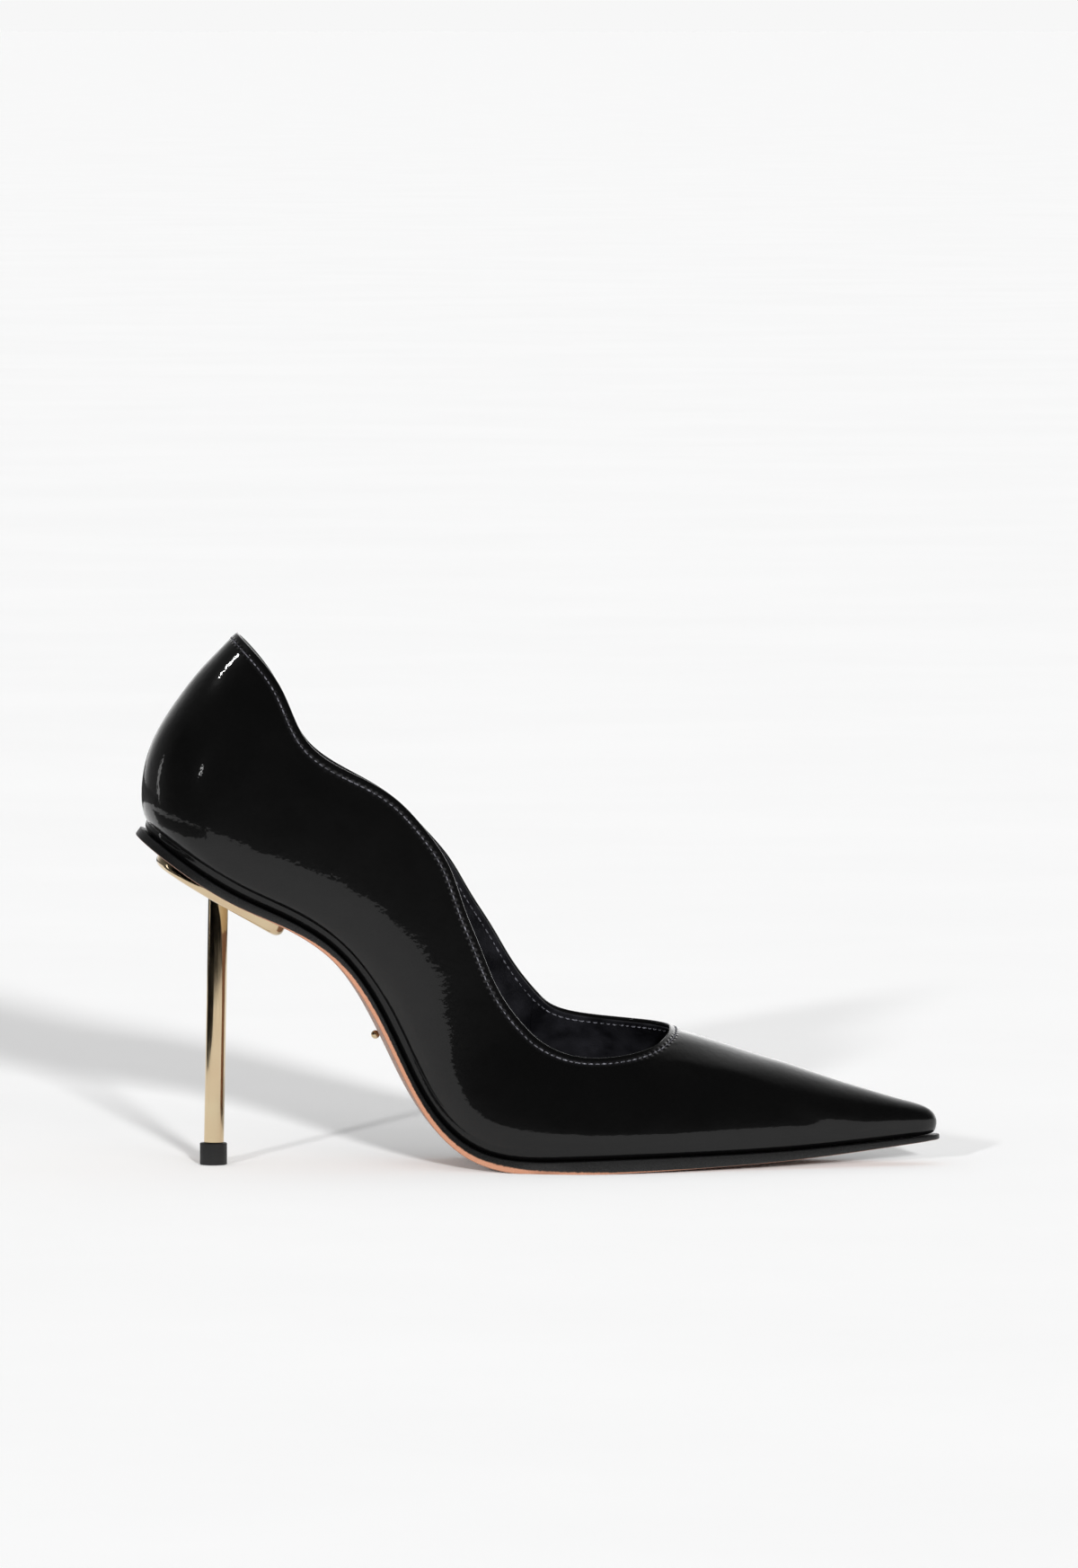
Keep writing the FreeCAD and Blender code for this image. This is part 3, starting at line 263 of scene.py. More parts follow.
def splineWeights(count, places):
    # how much each of a row of leading points pulls at each place, in a clamped uniform cubic spline
    inner = count - degree
    knots = np.concatenate([np.zeros(degree), np.linspace(0, 1, inner + 1), np.ones(degree)])
    u = np.clip(places, 0, 1 - 1e-9)[:, None]
    weights = ((knots[:-1] <= u) & (u < knots[1:])).astype(float)
    for k in range(1, degree + 1):
        rise = knots[k:-1] - knots[:-k - 1]
        fall = knots[k + 1:] - knots[1:-k]
        before = (u - knots[:-k - 1]) / np.where(rise > 0, rise, 1) * (rise > 0)
        after = (knots[k + 1:] - u) / np.where(fall > 0, fall, 1) * (fall > 0)
        weights = before * weights[:, :-1] + after * weights[:, 1:]
    return weights


def placeOf(index, count):
    # where along the spline the grid's row or column pulls most
    inner = count - degree
    knots = [[min(max(i + k - degree, 0), inner) / inner for k in (1, 2, 3)] for i in range(count)]
    return np.interp(index, range(count), np.mean(knots, axis=1))


def sheetPoints(grid, columns, rows):
    poles = grid.copy()
    poles[1:-1] -= (grid[:-2] - 2 * grid[1:-1] + grid[2:]) / 6
    across = splineWeights(len(grid), placeOf(columns, len(grid)))
    up = splineWeights(grid.shape[1], placeOf(rows, grid.shape[1]))
    return np.einsum("ui,ijk,vj->uvk", across, poles, up)


def wallGrid():
    def column(side, shares):
        rows = [onOutline(side, shares, gauges["margin"] * (1 - k / marginRows) ** 1.5, marginDrop)
                for k in range(marginRows)]
        rows += [onOutline(side, shares, 0.0, marginDrop), onOutline(side, shares, 0.0, 0.5 * marginDrop)]
        rows += [onWall(side, shares, level) for level in levels]
        return np.stack(rows, axis=1)

    shares = np.arange(stations + 1) / stations
    return np.concatenate([column(lateral, shares), column(medial, shares[:-1][::-1])])


def gridNormals(grid):
    around = np.concatenate([grid[-2:-1], grid, grid[1:2]])
    rowsUp = np.concatenate([grid[:, 1:], grid[:, -1:]], axis=1)
    rowsUp = rowsUp - np.concatenate([grid[:, :1], grid[:, :-1]], axis=1)
    outward = np.cross(around[2:] - around[:-2], rowsUp)
    return outward / np.linalg.norm(outward, axis=-1, keepdims=True)


wall = wallGrid()
wallNormals = gridNormals(wall)
seamGap = 0.05

stiffeners = {  # start, rise, end and fall along the ring, then up the wall, in shares
    "counter": ((-0.2, 0.1, 0.40, 0.12), (-0.02, 0.08, 0.90, 0.2)),
    "puff": ((0.78, 0.06, 1.2, 0.1), (-0.02, 0.08, 0.74, 0.16))}
skived = 0.42  # where an edge lies on the rise of its bump
opening = 4.0  # how fast a glued gap opens where a layer begins, per millimetre of that layer


def stiffening():
    ring = np.minimum(np.arange(lastColumn + 1), lastColumn - np.arange(lastColumn + 1)) / stations
    up = np.array(levels)
    room = np.zeros((lastColumn + 1, gridRows))
    for name, (span, rise) in stiffeners.items():
        onRing = np.minimum((ring - span[0]) / span[1], (span[2] - ring) / span[3])
        onWallRise = np.minimum((up - rise[0]) / rise[1], (rise[2] - up) / rise[3])
        room[:, marginRows + 2:] += gauges[name] * ease(np.minimum(onRing[:, None], onWallRise[None, :]))
    return room


stiffRoom = stiffening()
underUpper = stiffIn + stiffRoom + gauges["glue"] * np.minimum(1, opening * stiffRoom)


def layerGrid(distance, fromToe=False):
    # the grid that lies outside the last by a distance, starting at the back seam or at the toe
    grid = wall + wallNormals * (distance if np.ndim(distance) == 0 else distance[..., None])
    if fromToe:
        return np.concatenate([grid[stations:-1], grid[:stations + 1]])
    grid[0, :, 1] -= seamGap
    grid[-1, :, 1] += seamGap
    return grid


# meshes


def linked(name, data):
    made = bpy.data.objects.new(name, data)
    scene.collection.objects.link(made)
    return made


def meshOf(name, points, faces, values=None):
    # points are in millimetres; values are numbers kept with each point for the materials
    mesh = bpy.data.meshes.new(name)
    mesh.from_pydata((np.asarray(points, float).reshape(-1, 3) * mm).tolist(), [], faces)
    for key, value in (values or {}).items():
        mesh.attributes.new(key, "FLOAT", "POINT").data.foreach_set("value", np.asarray(value, np.float32).ravel())
    mesh.validate()
    mesh.shade_smooth()
    return linked(name, mesh)


def loopFaces(columns, rows):
    # quads between neighbouring columns of closed loops of rows
    faces = []
    for i in range(columns - 1):
        a, b = i * rows, (i + 1) * rows
        faces += [(a + j, b + j, b + (j + 1) % rows, a + (j + 1) % rows) for j in range(rows)]
    return faces


def endFaces(column, rows, backwards):
    faces = []
    for k in range(rows // 2 - 1):
        corners = [column * rows + j for j in (k, k + 1, rows - 2 - k, rows - 1 - k)]
        faces.append(corners[::-1] if backwards else corners)
    return faces


def gradients(points):
    # outward directions on a dense grid of points
    outward = np.cross(np.gradient(points, axis=0), np.gradient(points, axis=1))
    return outward / np.linalg.norm(outward, axis=-1, keepdims=True)


def rowsOver(spans):
    # places up a sheet, as (from, to, how many) for each stretch
    return np.concatenate([np.linspace(*span) for span in spans])


def rimRows(outer, inner, direction, count, height):
    # a rounded edge from the outer to the inner row, standing out along a direction
    middle, half = 0.5 * (outer + inner), 0.5 * (outer - inner)
    turns = [math.pi * (k + 1) / (count + 1) for k in range(count)]
    return [middle + half * math.cos(turn) + direction * height * math.sin(turn) for turn in turns]


def wrapped(name, inner, outer, rim, height, values=None):
    # the closed sheet between an inner and an outer grid, with its upper edge rounded over
    up = outer[:, -1] - outer[:, -3]
    up /= np.linalg.norm(up, axis=-1, keepdims=True)
    edge = np.stack(rimRows(outer[:, -1], inner[:, -1], up, rim, height), axis=1)
    points = np.concatenate([outer, edge, inner[:, ::-1]], axis=1)
    columns, rows = points.shape[:2]
    faces = loopFaces(columns, rows)
    faces += endFaces(0, rows, False) + endFaces(columns - 1, rows, True)
    kept = {}
    for key, value in (values or {}).items():
        rounded = np.repeat(value[:, -1:], rim, axis=1)
        kept[key] = np.concatenate([value, rounded, np.repeat(value[:, -1:], inner.shape[1], axis=1)], axis=1)
    return meshOf(name, points, faces, kept)


def nearest(points, line):
    # distance from each point to a fine line, and the line's own length there
    lengths = np.concatenate([[0], np.cumsum(np.linalg.norm(np.diff(line, axis=0), axis=1))])
    batch = 2000
    fine = np.linspace(0, lengths[-1], 2 * batch)
    samples = np.stack([np.interp(fine, lengths, line[:, k]) for k in range(3)], axis=1)
    flat = points.reshape(-1, 3)
    found = np.zeros((len(flat), 2))
    for start in range(0, len(flat), batch):
        part = flat[start:start + batch]
        apart = np.linalg.norm(part[:, None] - samples[None], axis=2)
        at = apart.argmin(axis=1)
        found[start:start + batch, 0] = apart[np.arange(len(part)), at]
        found[start:start + batch, 1] = fine[at]
    return found[:, 0].reshape(points.shape[:2]), found[:, 1].reshape(points.shape[:2])


def lineAtReach(points, reach, wanted):
    # the points or directions across the columns where the reach falls to a wanted value
    found = []
    for column, distances in zip(points, reach):
        above = np.nonzero(distances > wanted)[0][-1]
        share = (distances[above] - wanted) / (distances[above] - distances[above + 1])
        found.append(column[above] + (column[above + 1] - column[above]) * share)
    return np.array(found)


# materials


def linear(code):
    # an sRGB hex colour as linear light
    parts = [int(code[k:k + 2], 16) / 255 for k in (1, 3, 5)]
    return tuple(c / 12.92 if c <= 0.04045 else ((c + 0.055) / 1.055) ** 2.4 for c in parts) + (1.0,)


def addNode(tree, kind, settings=None, inputs=None):
    made = tree.nodes.new(kind)
    for name, value in (settings or {}).items():
        setattr(made, name, value)
    for key, value in (inputs or {}).items():
        if isinstance(value, bpy.types.NodeSocket):
            tree.links.new(value, made.inputs[key])
        else:
            made.inputs[key].default_value = value
    return made


def newMaterial(name):
    made = bpy.data.materials.new(name)
    made.use_nodes = True
    made.node_tree.nodes.clear()
    shader = addNode(made.node_tree, "ShaderNodeBsdfPrincipled")
    addNode(made.node_tree, "ShaderNodeOutputMaterial", None, {"Surface": shader.outputs[0]})
    coords = addNode(made.node_tree, "ShaderNodeTexCoord")
    return made, made.node_tree, shader, coords.outputs["Object"]


def noise(tree, place, size, detail=2.0, roughness=0.5):
    # a cloudy pattern whose clouds are about a size across, in millimetres
    return addNode(tree, "ShaderNodeTexNoise", None, {
        "Vector": place, "Scale": 1 / (size * mm), "Detail": detail, "Roughness": roughness}).outputs[0]


def stretched(tree, place, scale):
    return addNode(tree, "ShaderNodeMapping", None, {"Vector": place, "Scale": scale}).outputs[0]


def spread(tree, value, low, high, newLow, newHigh):
    return addNode(tree, "ShaderNodeMapRange", None, {
        "Value": value, 1: low, 2: high, 3: newLow, 4: newHigh}).outputs[0]


def bump(tree, height, depth, under=None):
    # depth in millimetres
    inputs = {"Height": height, "Distance": depth * mm}
    if under is not None:
        inputs["Normal"] = under
    return addNode(tree, "ShaderNodeBump", None, inputs).outputs[0]


def maths(tree, operation, *values):
    return addNode(tree, "ShaderNodeMath", {"operation": operation}, dict(enumerate(values))).outputs[0]


def tinted(tree, share, one, other):
    # a mix of two colours, each a hex code or a socket
    tones = [linear(tone) if isinstance(tone, str) else tone for tone in (one, other)]
    return addNode(tree, "ShaderNodeMix", {"data_type": "RGBA"}, {0: share, 6: tones[0], 7: tones[1]}).outputs[2]


def marked(tree, name):
    return addNode(tree, "ShaderNodeAttribute", {"attribute_name": name}).outputs["Fac"]


def joined(tree, shader, **sockets):
    for name, value in sockets.items():
        tree.links.new(value, shader.inputs[name.replace("_", " ")])


topSeam = {"reach": 1.9, "pitch": 2.0, "lift": 0.02}  # the stitches below the topline


def patentLeather():
    # calf under a poured lacquer: the black of a mirror in a dark room, with the faint orange peel of the lacquer
    look = {"black": "#040404", "stitchBand": "#0c0c0d", "waveSize": 20.0, "waveDepth": 0.30, "peelSize": 1.9,
            "peelDepth": 0.05, "pucker": 0.16, "puckerReach": 1.1, "smudgeSize": 9.0, "roughness": (0.3, 0.5)}
    made, tree, shader, place = newMaterial("patent leather, black lacquer")
    waves = bump(tree, noise(tree, place, look["waveSize"], 1.0), look["waveDepth"])
    peel = bump(tree, noise(tree, place, look["peelSize"]), look["peelDepth"], waves)
    # every stitch draws the leather in a little round its holes
    beat = maths(tree, "SINE", maths(tree, "MULTIPLY", marked(tree, "along"), 2 * math.pi / topSeam["pitch"]))
    byStitch = maths(tree, "ABSOLUTE", maths(tree, "SUBTRACT", marked(tree, "reach"), topSeam["reach"]))
    near = spread(tree, byStitch, 0.0, look["puckerReach"], 1.0, 0.0)
    puckers = bump(tree, maths(tree, "MULTIPLY", beat, near), look["pucker"], peel)
    smudges = noise(tree, place, look["smudgeSize"], 4.0, 0.6)
    # the base colour is drawn a touch lighter in a band along the stitch row, the same band that holds the puckers
    joined(tree, shader, Base_Color=tinted(tree, near, look["black"], look["stitchBand"]), Normal=puckers,
           Roughness=spread(tree, smudges, 0.3, 0.75, *look["roughness"]), Coat_Normal=puckers)
    shader.inputs["Specular IOR Level"].default_value = 0.12
    shader.inputs["Coat Weight"].default_value = 1.0
    shader.inputs["Coat IOR"].default_value = 1.33
    shader.inputs["Coat Roughness"].default_value = 0.03
    return made


def liningLeather(name="lining kid, black", dark="#08080a", light="#17171a", grainSize=0.9):
    # unlacquered kid: a fine pebbled grain that catches a soft grey light at its edges
    look = {"grainEdge": 0.12, "grainDepth": 0.035, "creaseSize": 7.0, "creaseDepth": 0.18, "handledSize": 2.5,
            "roughness": (0.38, 0.62)}
    made, tree, shader, place = newMaterial(name)
    grain = addNode(tree, "ShaderNodeTexVoronoi", {"feature": "DISTANCE_TO_EDGE"}, {
        "Vector": place, "Scale": 1 / (grainSize * mm)}).outputs["Distance"]
    pebbles = spread(tree, grain, 0.0, look["grainEdge"], 0.0, 1.0)
    creases = noise(tree, place, look["creaseSize"], 3.0)
    handled = noise(tree, place, look["handledSize"], 3.0)
    joined(tree, shader, Base_Color=tinted(tree, spread(tree, creases, 0.35, 0.7, 0.0, 1.0), dark, light),
           Roughness=spread(tree, handled, 0.3, 0.7, *look["roughness"]),
           Normal=bump(tree, pebbles, look["grainDepth"], bump(tree, creases, look["creaseDepth"])))
    return made


def soleLeather():
    # vegetable-tanned bend, rose tan and waxed below, its edge inked black with a grainy paint
    look = {"tan": "#8e6650", "deep": "#7c5542", "ink": "#0a0a0a", "fibreSize": 0.8, "fibreDepth": 0.02,
            "speckSize": 0.28, "speckDepth": 0.05, "roughness": (0.24, 0.62)}
    # how far in the ink runs at the seat, waist and toe, where that changes, and how ragged its border is
    inked = {"seat": 1.45, "waist": 0.62, "toe": 1.5, "seatEnds": (8 * mm, 42 * mm), "waistEnds": (90 * mm, 150 * mm),
             "border": 0.14, "ragged": 0.2, "raggedSize": 0.9}
    made, tree, shader, place = newMaterial("sole leather, tan with inked edge")
    fibres = noise(tree, stretched(tree, place, (0.25, 1.0, 1.0)), look["fibreSize"], 5.0, 0.65)
    ragged = maths(tree, "MULTIPLY", noise(tree, place, inked["raggedSize"], 3.0), inked["ragged"])
    forward = addNode(tree, "ShaderNodeSeparateXYZ", None, {0: place}).outputs[0]
    inkTo = maths(tree, "MAXIMUM", spread(tree, forward, *inked["waistEnds"], inked["waist"], inked["toe"]),
                  spread(tree, forward, *inked["seatEnds"], inked["seat"], inked["waist"]))
    past = maths(tree, "SUBTRACT", maths(tree, "ADD", marked(tree, "inFromEdge"), ragged), inkTo)
    ink = spread(tree, past, 0.0, inked["border"], 1.0, 0.0)
    specks = noise(tree, place, look["speckSize"])
    joined(tree, shader, Base_Color=tinted(tree, ink, tinted(tree, fibres, look["tan"], look["deep"]), look["ink"]),
           Roughness=spread(tree, specks, 0.35, 0.65, *look["roughness"]),
           Normal=bump(tree, specks, look["speckDepth"], bump(tree, fibres, look["fibreDepth"])))
    return made


def giltMetal():
    # brass cast and polished under a pale gold plating, with hair-fine polishing lines
    look = {"gold": "#dccdaa", "rose": "#d3b795", "lineSize": 0.5, "lineDepth": 0.0015, "handledSize": 12.0,
            "roughness": (0.07, 0.16)}
    made, tree, shader, place = newMaterial("gilt brass, polished")
    lines = noise(tree, stretched(tree, place, (1.0, 1.0, 0.06)), look["lineSize"], 3.0)
    handled = noise(tree, place, look["handledSize"], 3.0)
    joined(tree, shader, Base_Color=tinted(tree, handled, look["gold"], look["rose"]),
           Roughness=spread(tree, lines, 0.3, 0.7, *look["roughness"]), Normal=bump(tree, lines, look["lineDepth"]))
    shader.inputs["Metallic"].default_value = 1.0
    return made


def plainMatter(name, light, dark, size, rough, depth, metallic=0.0, stretch=(1.0, 1.0, 1.0), specular=0.5):
    # a matter with one grain: two tones, a roughness range and a bump that all follow the same clouds
    made, tree, shader, place = newMaterial(name)
    grain = noise(tree, stretched(tree, place, stretch), size, 5.0, 0.6)
    joined(tree, shader, Base_Color=tinted(tree, spread(tree, grain, 0.35, 0.65, 0.0, 1.0), light, dark),
           Roughness=spread(tree, grain, 0.3, 0.7, *rough), Normal=bump(tree, grain, depth))
    shader.inputs["Metallic"].default_value = metallic
    shader.inputs["Specular IOR Level"].default_value = specular
    return made


matters = {
    "patent": patentLeather(), "lining": liningLeather(), "sole": soleLeather(), "gilt": giltMetal(),
    "sock": liningLeather("sock leather, black", "#09090b", "#19191c", 1.2),
    "rubber": plainMatter("top lift rubber, black", "#0c0c0c", "#161616", 0.35, (0.45, 0.75), 0.03),
    "thread": plainMatter("waxed thread, black", "#0e0e10", "#5c5c62", 0.9, (0.14, 0.4), 0.03),
    "stiffener": plainMatter("stiffener sheet, fused fibre", "#cfc7b6", "#b5aa94", 0.6, (0.7, 0.95), 0.03),
    "board": plainMatter("insole board, pressed fibre", "#b79b78", "#9a7d5b", 0.8, (0.75, 0.95), 0.05, 0.0,
                         (0.3, 1.0, 1.0)),
    "cork": plainMatter("ground cork in latex", "#a9794a", "#5d3c20", 1.4, (0.8, 1.0), 0.2),
    "steel": plainMatter("spring steel, oiled", "#8b8f94", "#6d7175", 0.5, (0.22, 0.42), 0.006, 1.0, (0.08, 1.0, 1.0)),
    "foam": plainMatter("latex foam, cream", "#e6dcc2", "#cdbf9e", 0.7, (0.85, 1.0), 0.12)}


def finished(made, material, replaced):
    made.data.materials.append(material)
    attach(made, "root")
    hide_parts(replaced)


# the upper

patentUpper = {
    "columns": 420, "outerRows": [(0, 3.2, 5), (3.6, 7, 12), (7.3, 17, 24), (17.4, 18.8, 5), (19, lastRow, 26)],
    "innerRows": [(0, 6, 8), (7, 18, 12), (18.5, lastRow, 6)], "topRows": 40, "away": 99.0, "rim": 8, "rimHeight": 0.55,
    "foldRise": 0.10, "foldEdge": 0.5, "grooveDepth": 0.12, "grooveWidth": 0.35, "seamDip": 0.3, "seamWidth": 0.5,
    "bridge": 9.0, "bridgePasses": 90}


def makeUpper():
    sizes = patentUpper
    columns = np.linspace(0, lastColumn, sizes["columns"])
    rows = rowsOver(sizes["outerRows"])
    outer = sheetPoints(layerGrid(underUpper + gauges["upper"]), columns, rows)
    # the leather can't follow the sharp ridge just in front of the throat, and bridges it
    middle = len(columns) // 2
    fromThroat = np.linalg.norm(outer - outer[middle, -1], axis=2) / sizes["bridge"]
    bridged = 0.5 * np.exp(-fromThroat ** 2)[1:-1, :, None]
    for _ in range(sizes["bridgePasses"]):
        outer[1:-1] += bridged * (0.5 * (outer[:-2] + outer[2:]) - outer[1:-1])
    reach, along = nearest(outer[:, -sizes["topRows"]:], outer[:, -1])
    far = np.full((len(columns), len(rows) - sizes["topRows"]), sizes["away"])
    reach = np.concatenate([far, reach], axis=1)
    along = np.concatenate([far * 0, along], axis=1)
    fold = sizes["foldRise"] * ease((topSeam["reach"] - reach) / sizes["foldEdge"])
    groove = sizes["grooveDepth"] * np.exp(-((reach - topSeam["reach"]) / sizes["grooveWidth"]) ** 2)
    ring = np.linalg.norm(np.diff(outer, axis=0), axis=2)
    fromBack = np.concatenate([np.zeros((1, len(rows))), np.cumsum(ring, axis=0)])
    fromSeam = np.minimum(fromBack, fromBack[-1:] - fromBack)
    dip = sizes["seamDip"] * np.exp(-(fromSeam / sizes["seamWidth"]) ** 2)
    shaped = outer + gradients(outer) * (fold - groove - dip)[..., None]
    innerRows = rowsOver(sizes["innerRows"])
    inner = sheetPoints(layerGrid(underUpper), columns, innerRows)
    # the outer and the inner face have to pair up row by row at the back seam
    padded = np.concatenate([np.repeat(inner[:, :1], len(rows) - len(innerRows), axis=1), inner], axis=1)
    made = wrapped("patent_upper", padded, shaped, sizes["rim"], sizes["rimHeight"], {"reach": reach, "along": along})
    return (made, lineAtReach(shaped, reach, topSeam["reach"]),
            lineAtReach(gradients(shaped), reach, topSeam["reach"]))


upper, stitchLine, stitchWay = makeUpper()
finished(upper, matters["patent"], "upper_wholecut")
print("upper made,", len(upper.data.polygons), "faces")


# plates along the bottom, and the outsole

leastWidth = 0.3


def flatPlate(start, end, width, top, under, ring=220, fill=9, roundTop=0.25, roundUnder=0.5):
    # a plate along the bottom, worked out flat as (distance along, across) and then bent onto the last
    stationsAlong = start + (end - start) * spaced(np.linspace(0, 1, ring))
    outline = np.concatenate([
        np.stack([stationsAlong, -width(lateral, stationsAlong) + toeShift(stationsAlong)], axis=1),
        np.stack([stationsAlong[-2:0:-1],
                  width(medial, stationsAlong[-2:0:-1]) + toeShift(stationsAlong[-2:0:-1])], axis=1)])
    tangent = np.roll(outline, -1, axis=0) - np.roll(outline, 1, axis=0)
    outward = np.stack([tangent[:, 1], -tangent[:, 0]], axis=1)
    outward /= np.linalg.norm(outward, axis=1, keepdims=True)
    middle = np.clip(outline[:, 0], start + roundUnder, end - roundUnder)
    centre = np.stack([middle, toeShift(middle)], axis=1)

    rows, marks = [], []

    def addRow(flat, face, shift, mark):
        fromAxis = flat[:, 1] - toeShift(flat[:, 0])
        wide = np.where(fromAxis < 0, width(lateral, flat[:, 0]), width(medial, flat[:, 0]))
        across = np.clip(fromAxis / np.maximum(wide, leastWidth), -1, 1)
        rows.append(placed(flat[:, 0], flat[:, 1], face(flat[:, 0], across) + shift))
        marks.append(np.zeros(len(flat)) + mark)

    turns = np.linspace(0, math.pi / 2, 5)
    for share in np.linspace(0, 1, fill, endpoint=False):
        addRow(centre + (outline - outward * roundTop - centre) * share, top, 0.0, 0.0)
    for turn in turns:
        addRow(outline - outward * roundTop * (1 - math.sin(turn)), top, roundTop * (1 - math.cos(turn)), 0.0)
    for turn in turns:
        addRow(outline - outward * roundUnder * (1 - math.cos(turn)), under,
               -roundUnder * (1 - math.sin(turn)), 1 + roundUnder * turn)
    for share in np.linspace(1, 0, fill * 2 + 1)[1:]:
        flat = centre + (outline - outward * roundUnder - centre) * share
        addRow(flat, under, 0.0, 1 + np.linalg.norm(flat - outline, axis=1) + roundUnder * 0.6)
    points = np.stack(rows, axis=1)
    columns, count = points.shape[:2]
    faces = []
    for i in range(columns):
        a, b = i * count, (i + 1) % columns * count
        faces += [(a + j, a + j + 1, b + j + 1, b + j) for j in range(count - 1)]
    return points, faces, {"inFromEdge": np.stack(marks, axis=1)}


soleOver = stiffIn + gauges["upper"] + gauges["soleLip"]


def soleGauge(waist):
    return alongRun([(0, gauges["soleSeat"]), (50, gauges["soleSeat"]), (85, waist), (120, waist),
                     (150, gauges["soleBall"]), (200, gauges["soleBall"]), (277, gauges["soleTip"])])


soleMiddle, soleRim = soleGauge(gauges["soleWaist"]), soleGauge(gauges["soleEdge"])


def insetEdge(inset, backInset=None, toeInset=None):
    back = inset if backInset is None else backInset
    toe = inset if toeInset is None else toeInset
    return back, run - toe, lambda side, s: np.maximum(insetWidth(side, s, inset, back, toe), leastWidth)


def makeOutsole():
    start, end, width = insetEdge(-soleOver, -soleOver + gauges["soleLip"] - gauges["heelLip"])
    points, faces, values = flatPlate(
        start, end, width, lambda s, q: soleTop + 0 * s,
        lambda s, q: soleTop + soleRim(s) + (soleMiddle(s) - soleRim(s)) * (1 - q * q))
    points[..., 2] = np.maximum(points[..., 2], 0)
    return meshOf("leather_outsole", points, faces, values)


outsole = makeOutsole()
finished(outsole, matters["sole"], "outsole")
print("outsole made,", len(outsole.data.polygons), "faces")


# linings and sock

lining = {"gripSeam": 22.0, "vampSeam": 36.0, "gap": 0.03, "rows": [(0, 7, 18), (7.6, lastRow, 36)],
          "perColumn": 7, "rim": 6, "rimHeight": 0.3}
pastGrip, pastVamp = lining["gripSeam"] + lining["gap"], lining["vampSeam"] + lining["gap"]
linings = {  # columns from and to, and whether they are counted from the toe
    "heel_grip_lining": (stations - lining["gripSeam"], stations + lining["gripSeam"], True),
    "quarter_lining_lateral": (pastGrip, lining["vampSeam"], False),
    "quarter_lining_medial": (lastColumn - lining["vampSeam"], lastColumn - pastGrip, False),
    "vamp_lining": (pastVamp, lastColumn - pastVamp, False)}


def makeLining(name, start, end, fromToe):
    columns = np.linspace(start, end, int(lining["perColumn"] * (end - start)))
    rows = rowsOver(lining["rows"])
    inner = sheetPoints(layerGrid(liningIn, fromToe), columns, rows)
    outer = sheetPoints(layerGrid(liningOut, fromToe), columns, rows)
    made = wrapped(name + "_leather", inner, outer, lining["rim"], lining["rimHeight"])
    finished(made, matters["lining"], name)
    return inner


liningFaces = {name: makeLining(name, *spanned) for name, spanned in linings.items()}
print("linings made")

sock = {"inset": 0.7, "toeInset": 2.0, "endGap": 0.3, "fill": 22, "edge": 0.2}
cushion = {"edgeRun": 0.35, "corner": 6.0, "leastEnd": 0.05, "ring": 120, "fill": 14, "edge": 0.15, "softness": 0.6}
cushions = {  # start and end along the bottom, run-out, and reach across as a share of the half width
    "heel_cushion": (4.0 * runStretch, 62.0 * runStretch, 16.0, 0.86),
    "ball_cushion": (132.0 * runStretch, 206.0 * runStretch, 24.0, 0.88)}


def cushionShare(name, s, q):
    start, end, runOut, reach = cushions[name]
    edges = np.minimum((s - start) / runOut, (end - s) / runOut)
    return ease(np.minimum(edges, (reach - np.abs(q)) / (cushion["edgeRun"] * reach)))


def underSock(s, q):
    rise = gauges["cushion"] * sum(cushionShare(name, s, q) for name in cushions)
    return -(gauges["glue"] + rise + gauges["ease"] * np.minimum(1, opening * rise))


sockStart, sockEnd, sockWidth = insetEdge(sock["inset"], toeInset=sock["toeInset"])


def makeSock():
    points, faces, values = flatPlate(
        sockStart + sock["endGap"], sockEnd - sock["endGap"], sockWidth,
        lambda s, q: underSock(s, q) - gauges["sock"], underSock,
        fill=sock["fill"], roundTop=sock["edge"], roundUnder=sock["edge"])
    made = meshOf("sock_leather", points, faces, values)
    finished(made, matters["sock"], "sock_lining")


def makeCushion(name):
    start, end, runOut, reach = cushions[name]
    start, end = start + skived * runOut, end - skived * runOut
    share = reach * (1 - skived * cushion["edgeRun"])
    low = 0.5 * gauges["glue"]

    def width(side, s):
        ends = endRound(s - start, cushion["corner"]) * endRound(end - s, cushion["corner"])
        return share * sockWidth(side, s) * np.maximum(ends, cushion["leastEnd"])

    points, faces, values = flatPlate(
        start, end, width, lambda s, q: -(low + gauges["cushion"] * cushionShare(name, s, q * share)),
        lambda s, q: -low + 0 * s, ring=cushion["ring"], fill=cushion["fill"],
        roundTop=cushion["edge"], roundUnder=cushion["edge"])
    made = meshOf(name + "_foam", points, faces, values)
    finished(made, matters["foam"], name)


makeSock()
for name in cushions:
    makeCushion(name)
print("sock and cushions made")


# turned metal

heel = {"pinRadius": 3.0, "pinLean": 1.1, "pinEdge": 0.15, "belowTop": 0.6, "tipRadius": 4.1, "tipHeight": 6.6,
        "tipEdge": 0.35, "sides": 96}


def turned(name, outline, axis, foot):
    # outline is (radius, height) pairs from the lower middle to the upper middle
    across = Vector((0, 1, 0)).cross(axis).normalized()
    other = axis.cross(across)
    inner = outline[1:-1]
    points = []
    for turn in np.arange(heel["sides"]) * 2 * math.pi / heel["sides"]:
        out = across * math.cos(turn) + other * math.sin(turn)
        points += [foot + out * radius + axis * height for radius, height in inner]
    count, sides = len(inner), heel["sides"]
    faces = [(i * count + j, (i + 1) % sides * count + j, (i + 1) % sides * count + j + 1, i * count + j + 1)
             for i in range(sides) for j in range(count - 1)]
    points += [foot + axis * outline[0][1], foot + axis * outline[-1][1]]
    faces += [(sides * count, (i + 1) % sides * count, i * count) for i in range(sides)]
    faces += [(sides * count + 1, i * count + count - 1, (i + 1) % sides * count + count - 1) for i in range(sides)]
    return meshOf(name, [list(point) for point in points], faces)


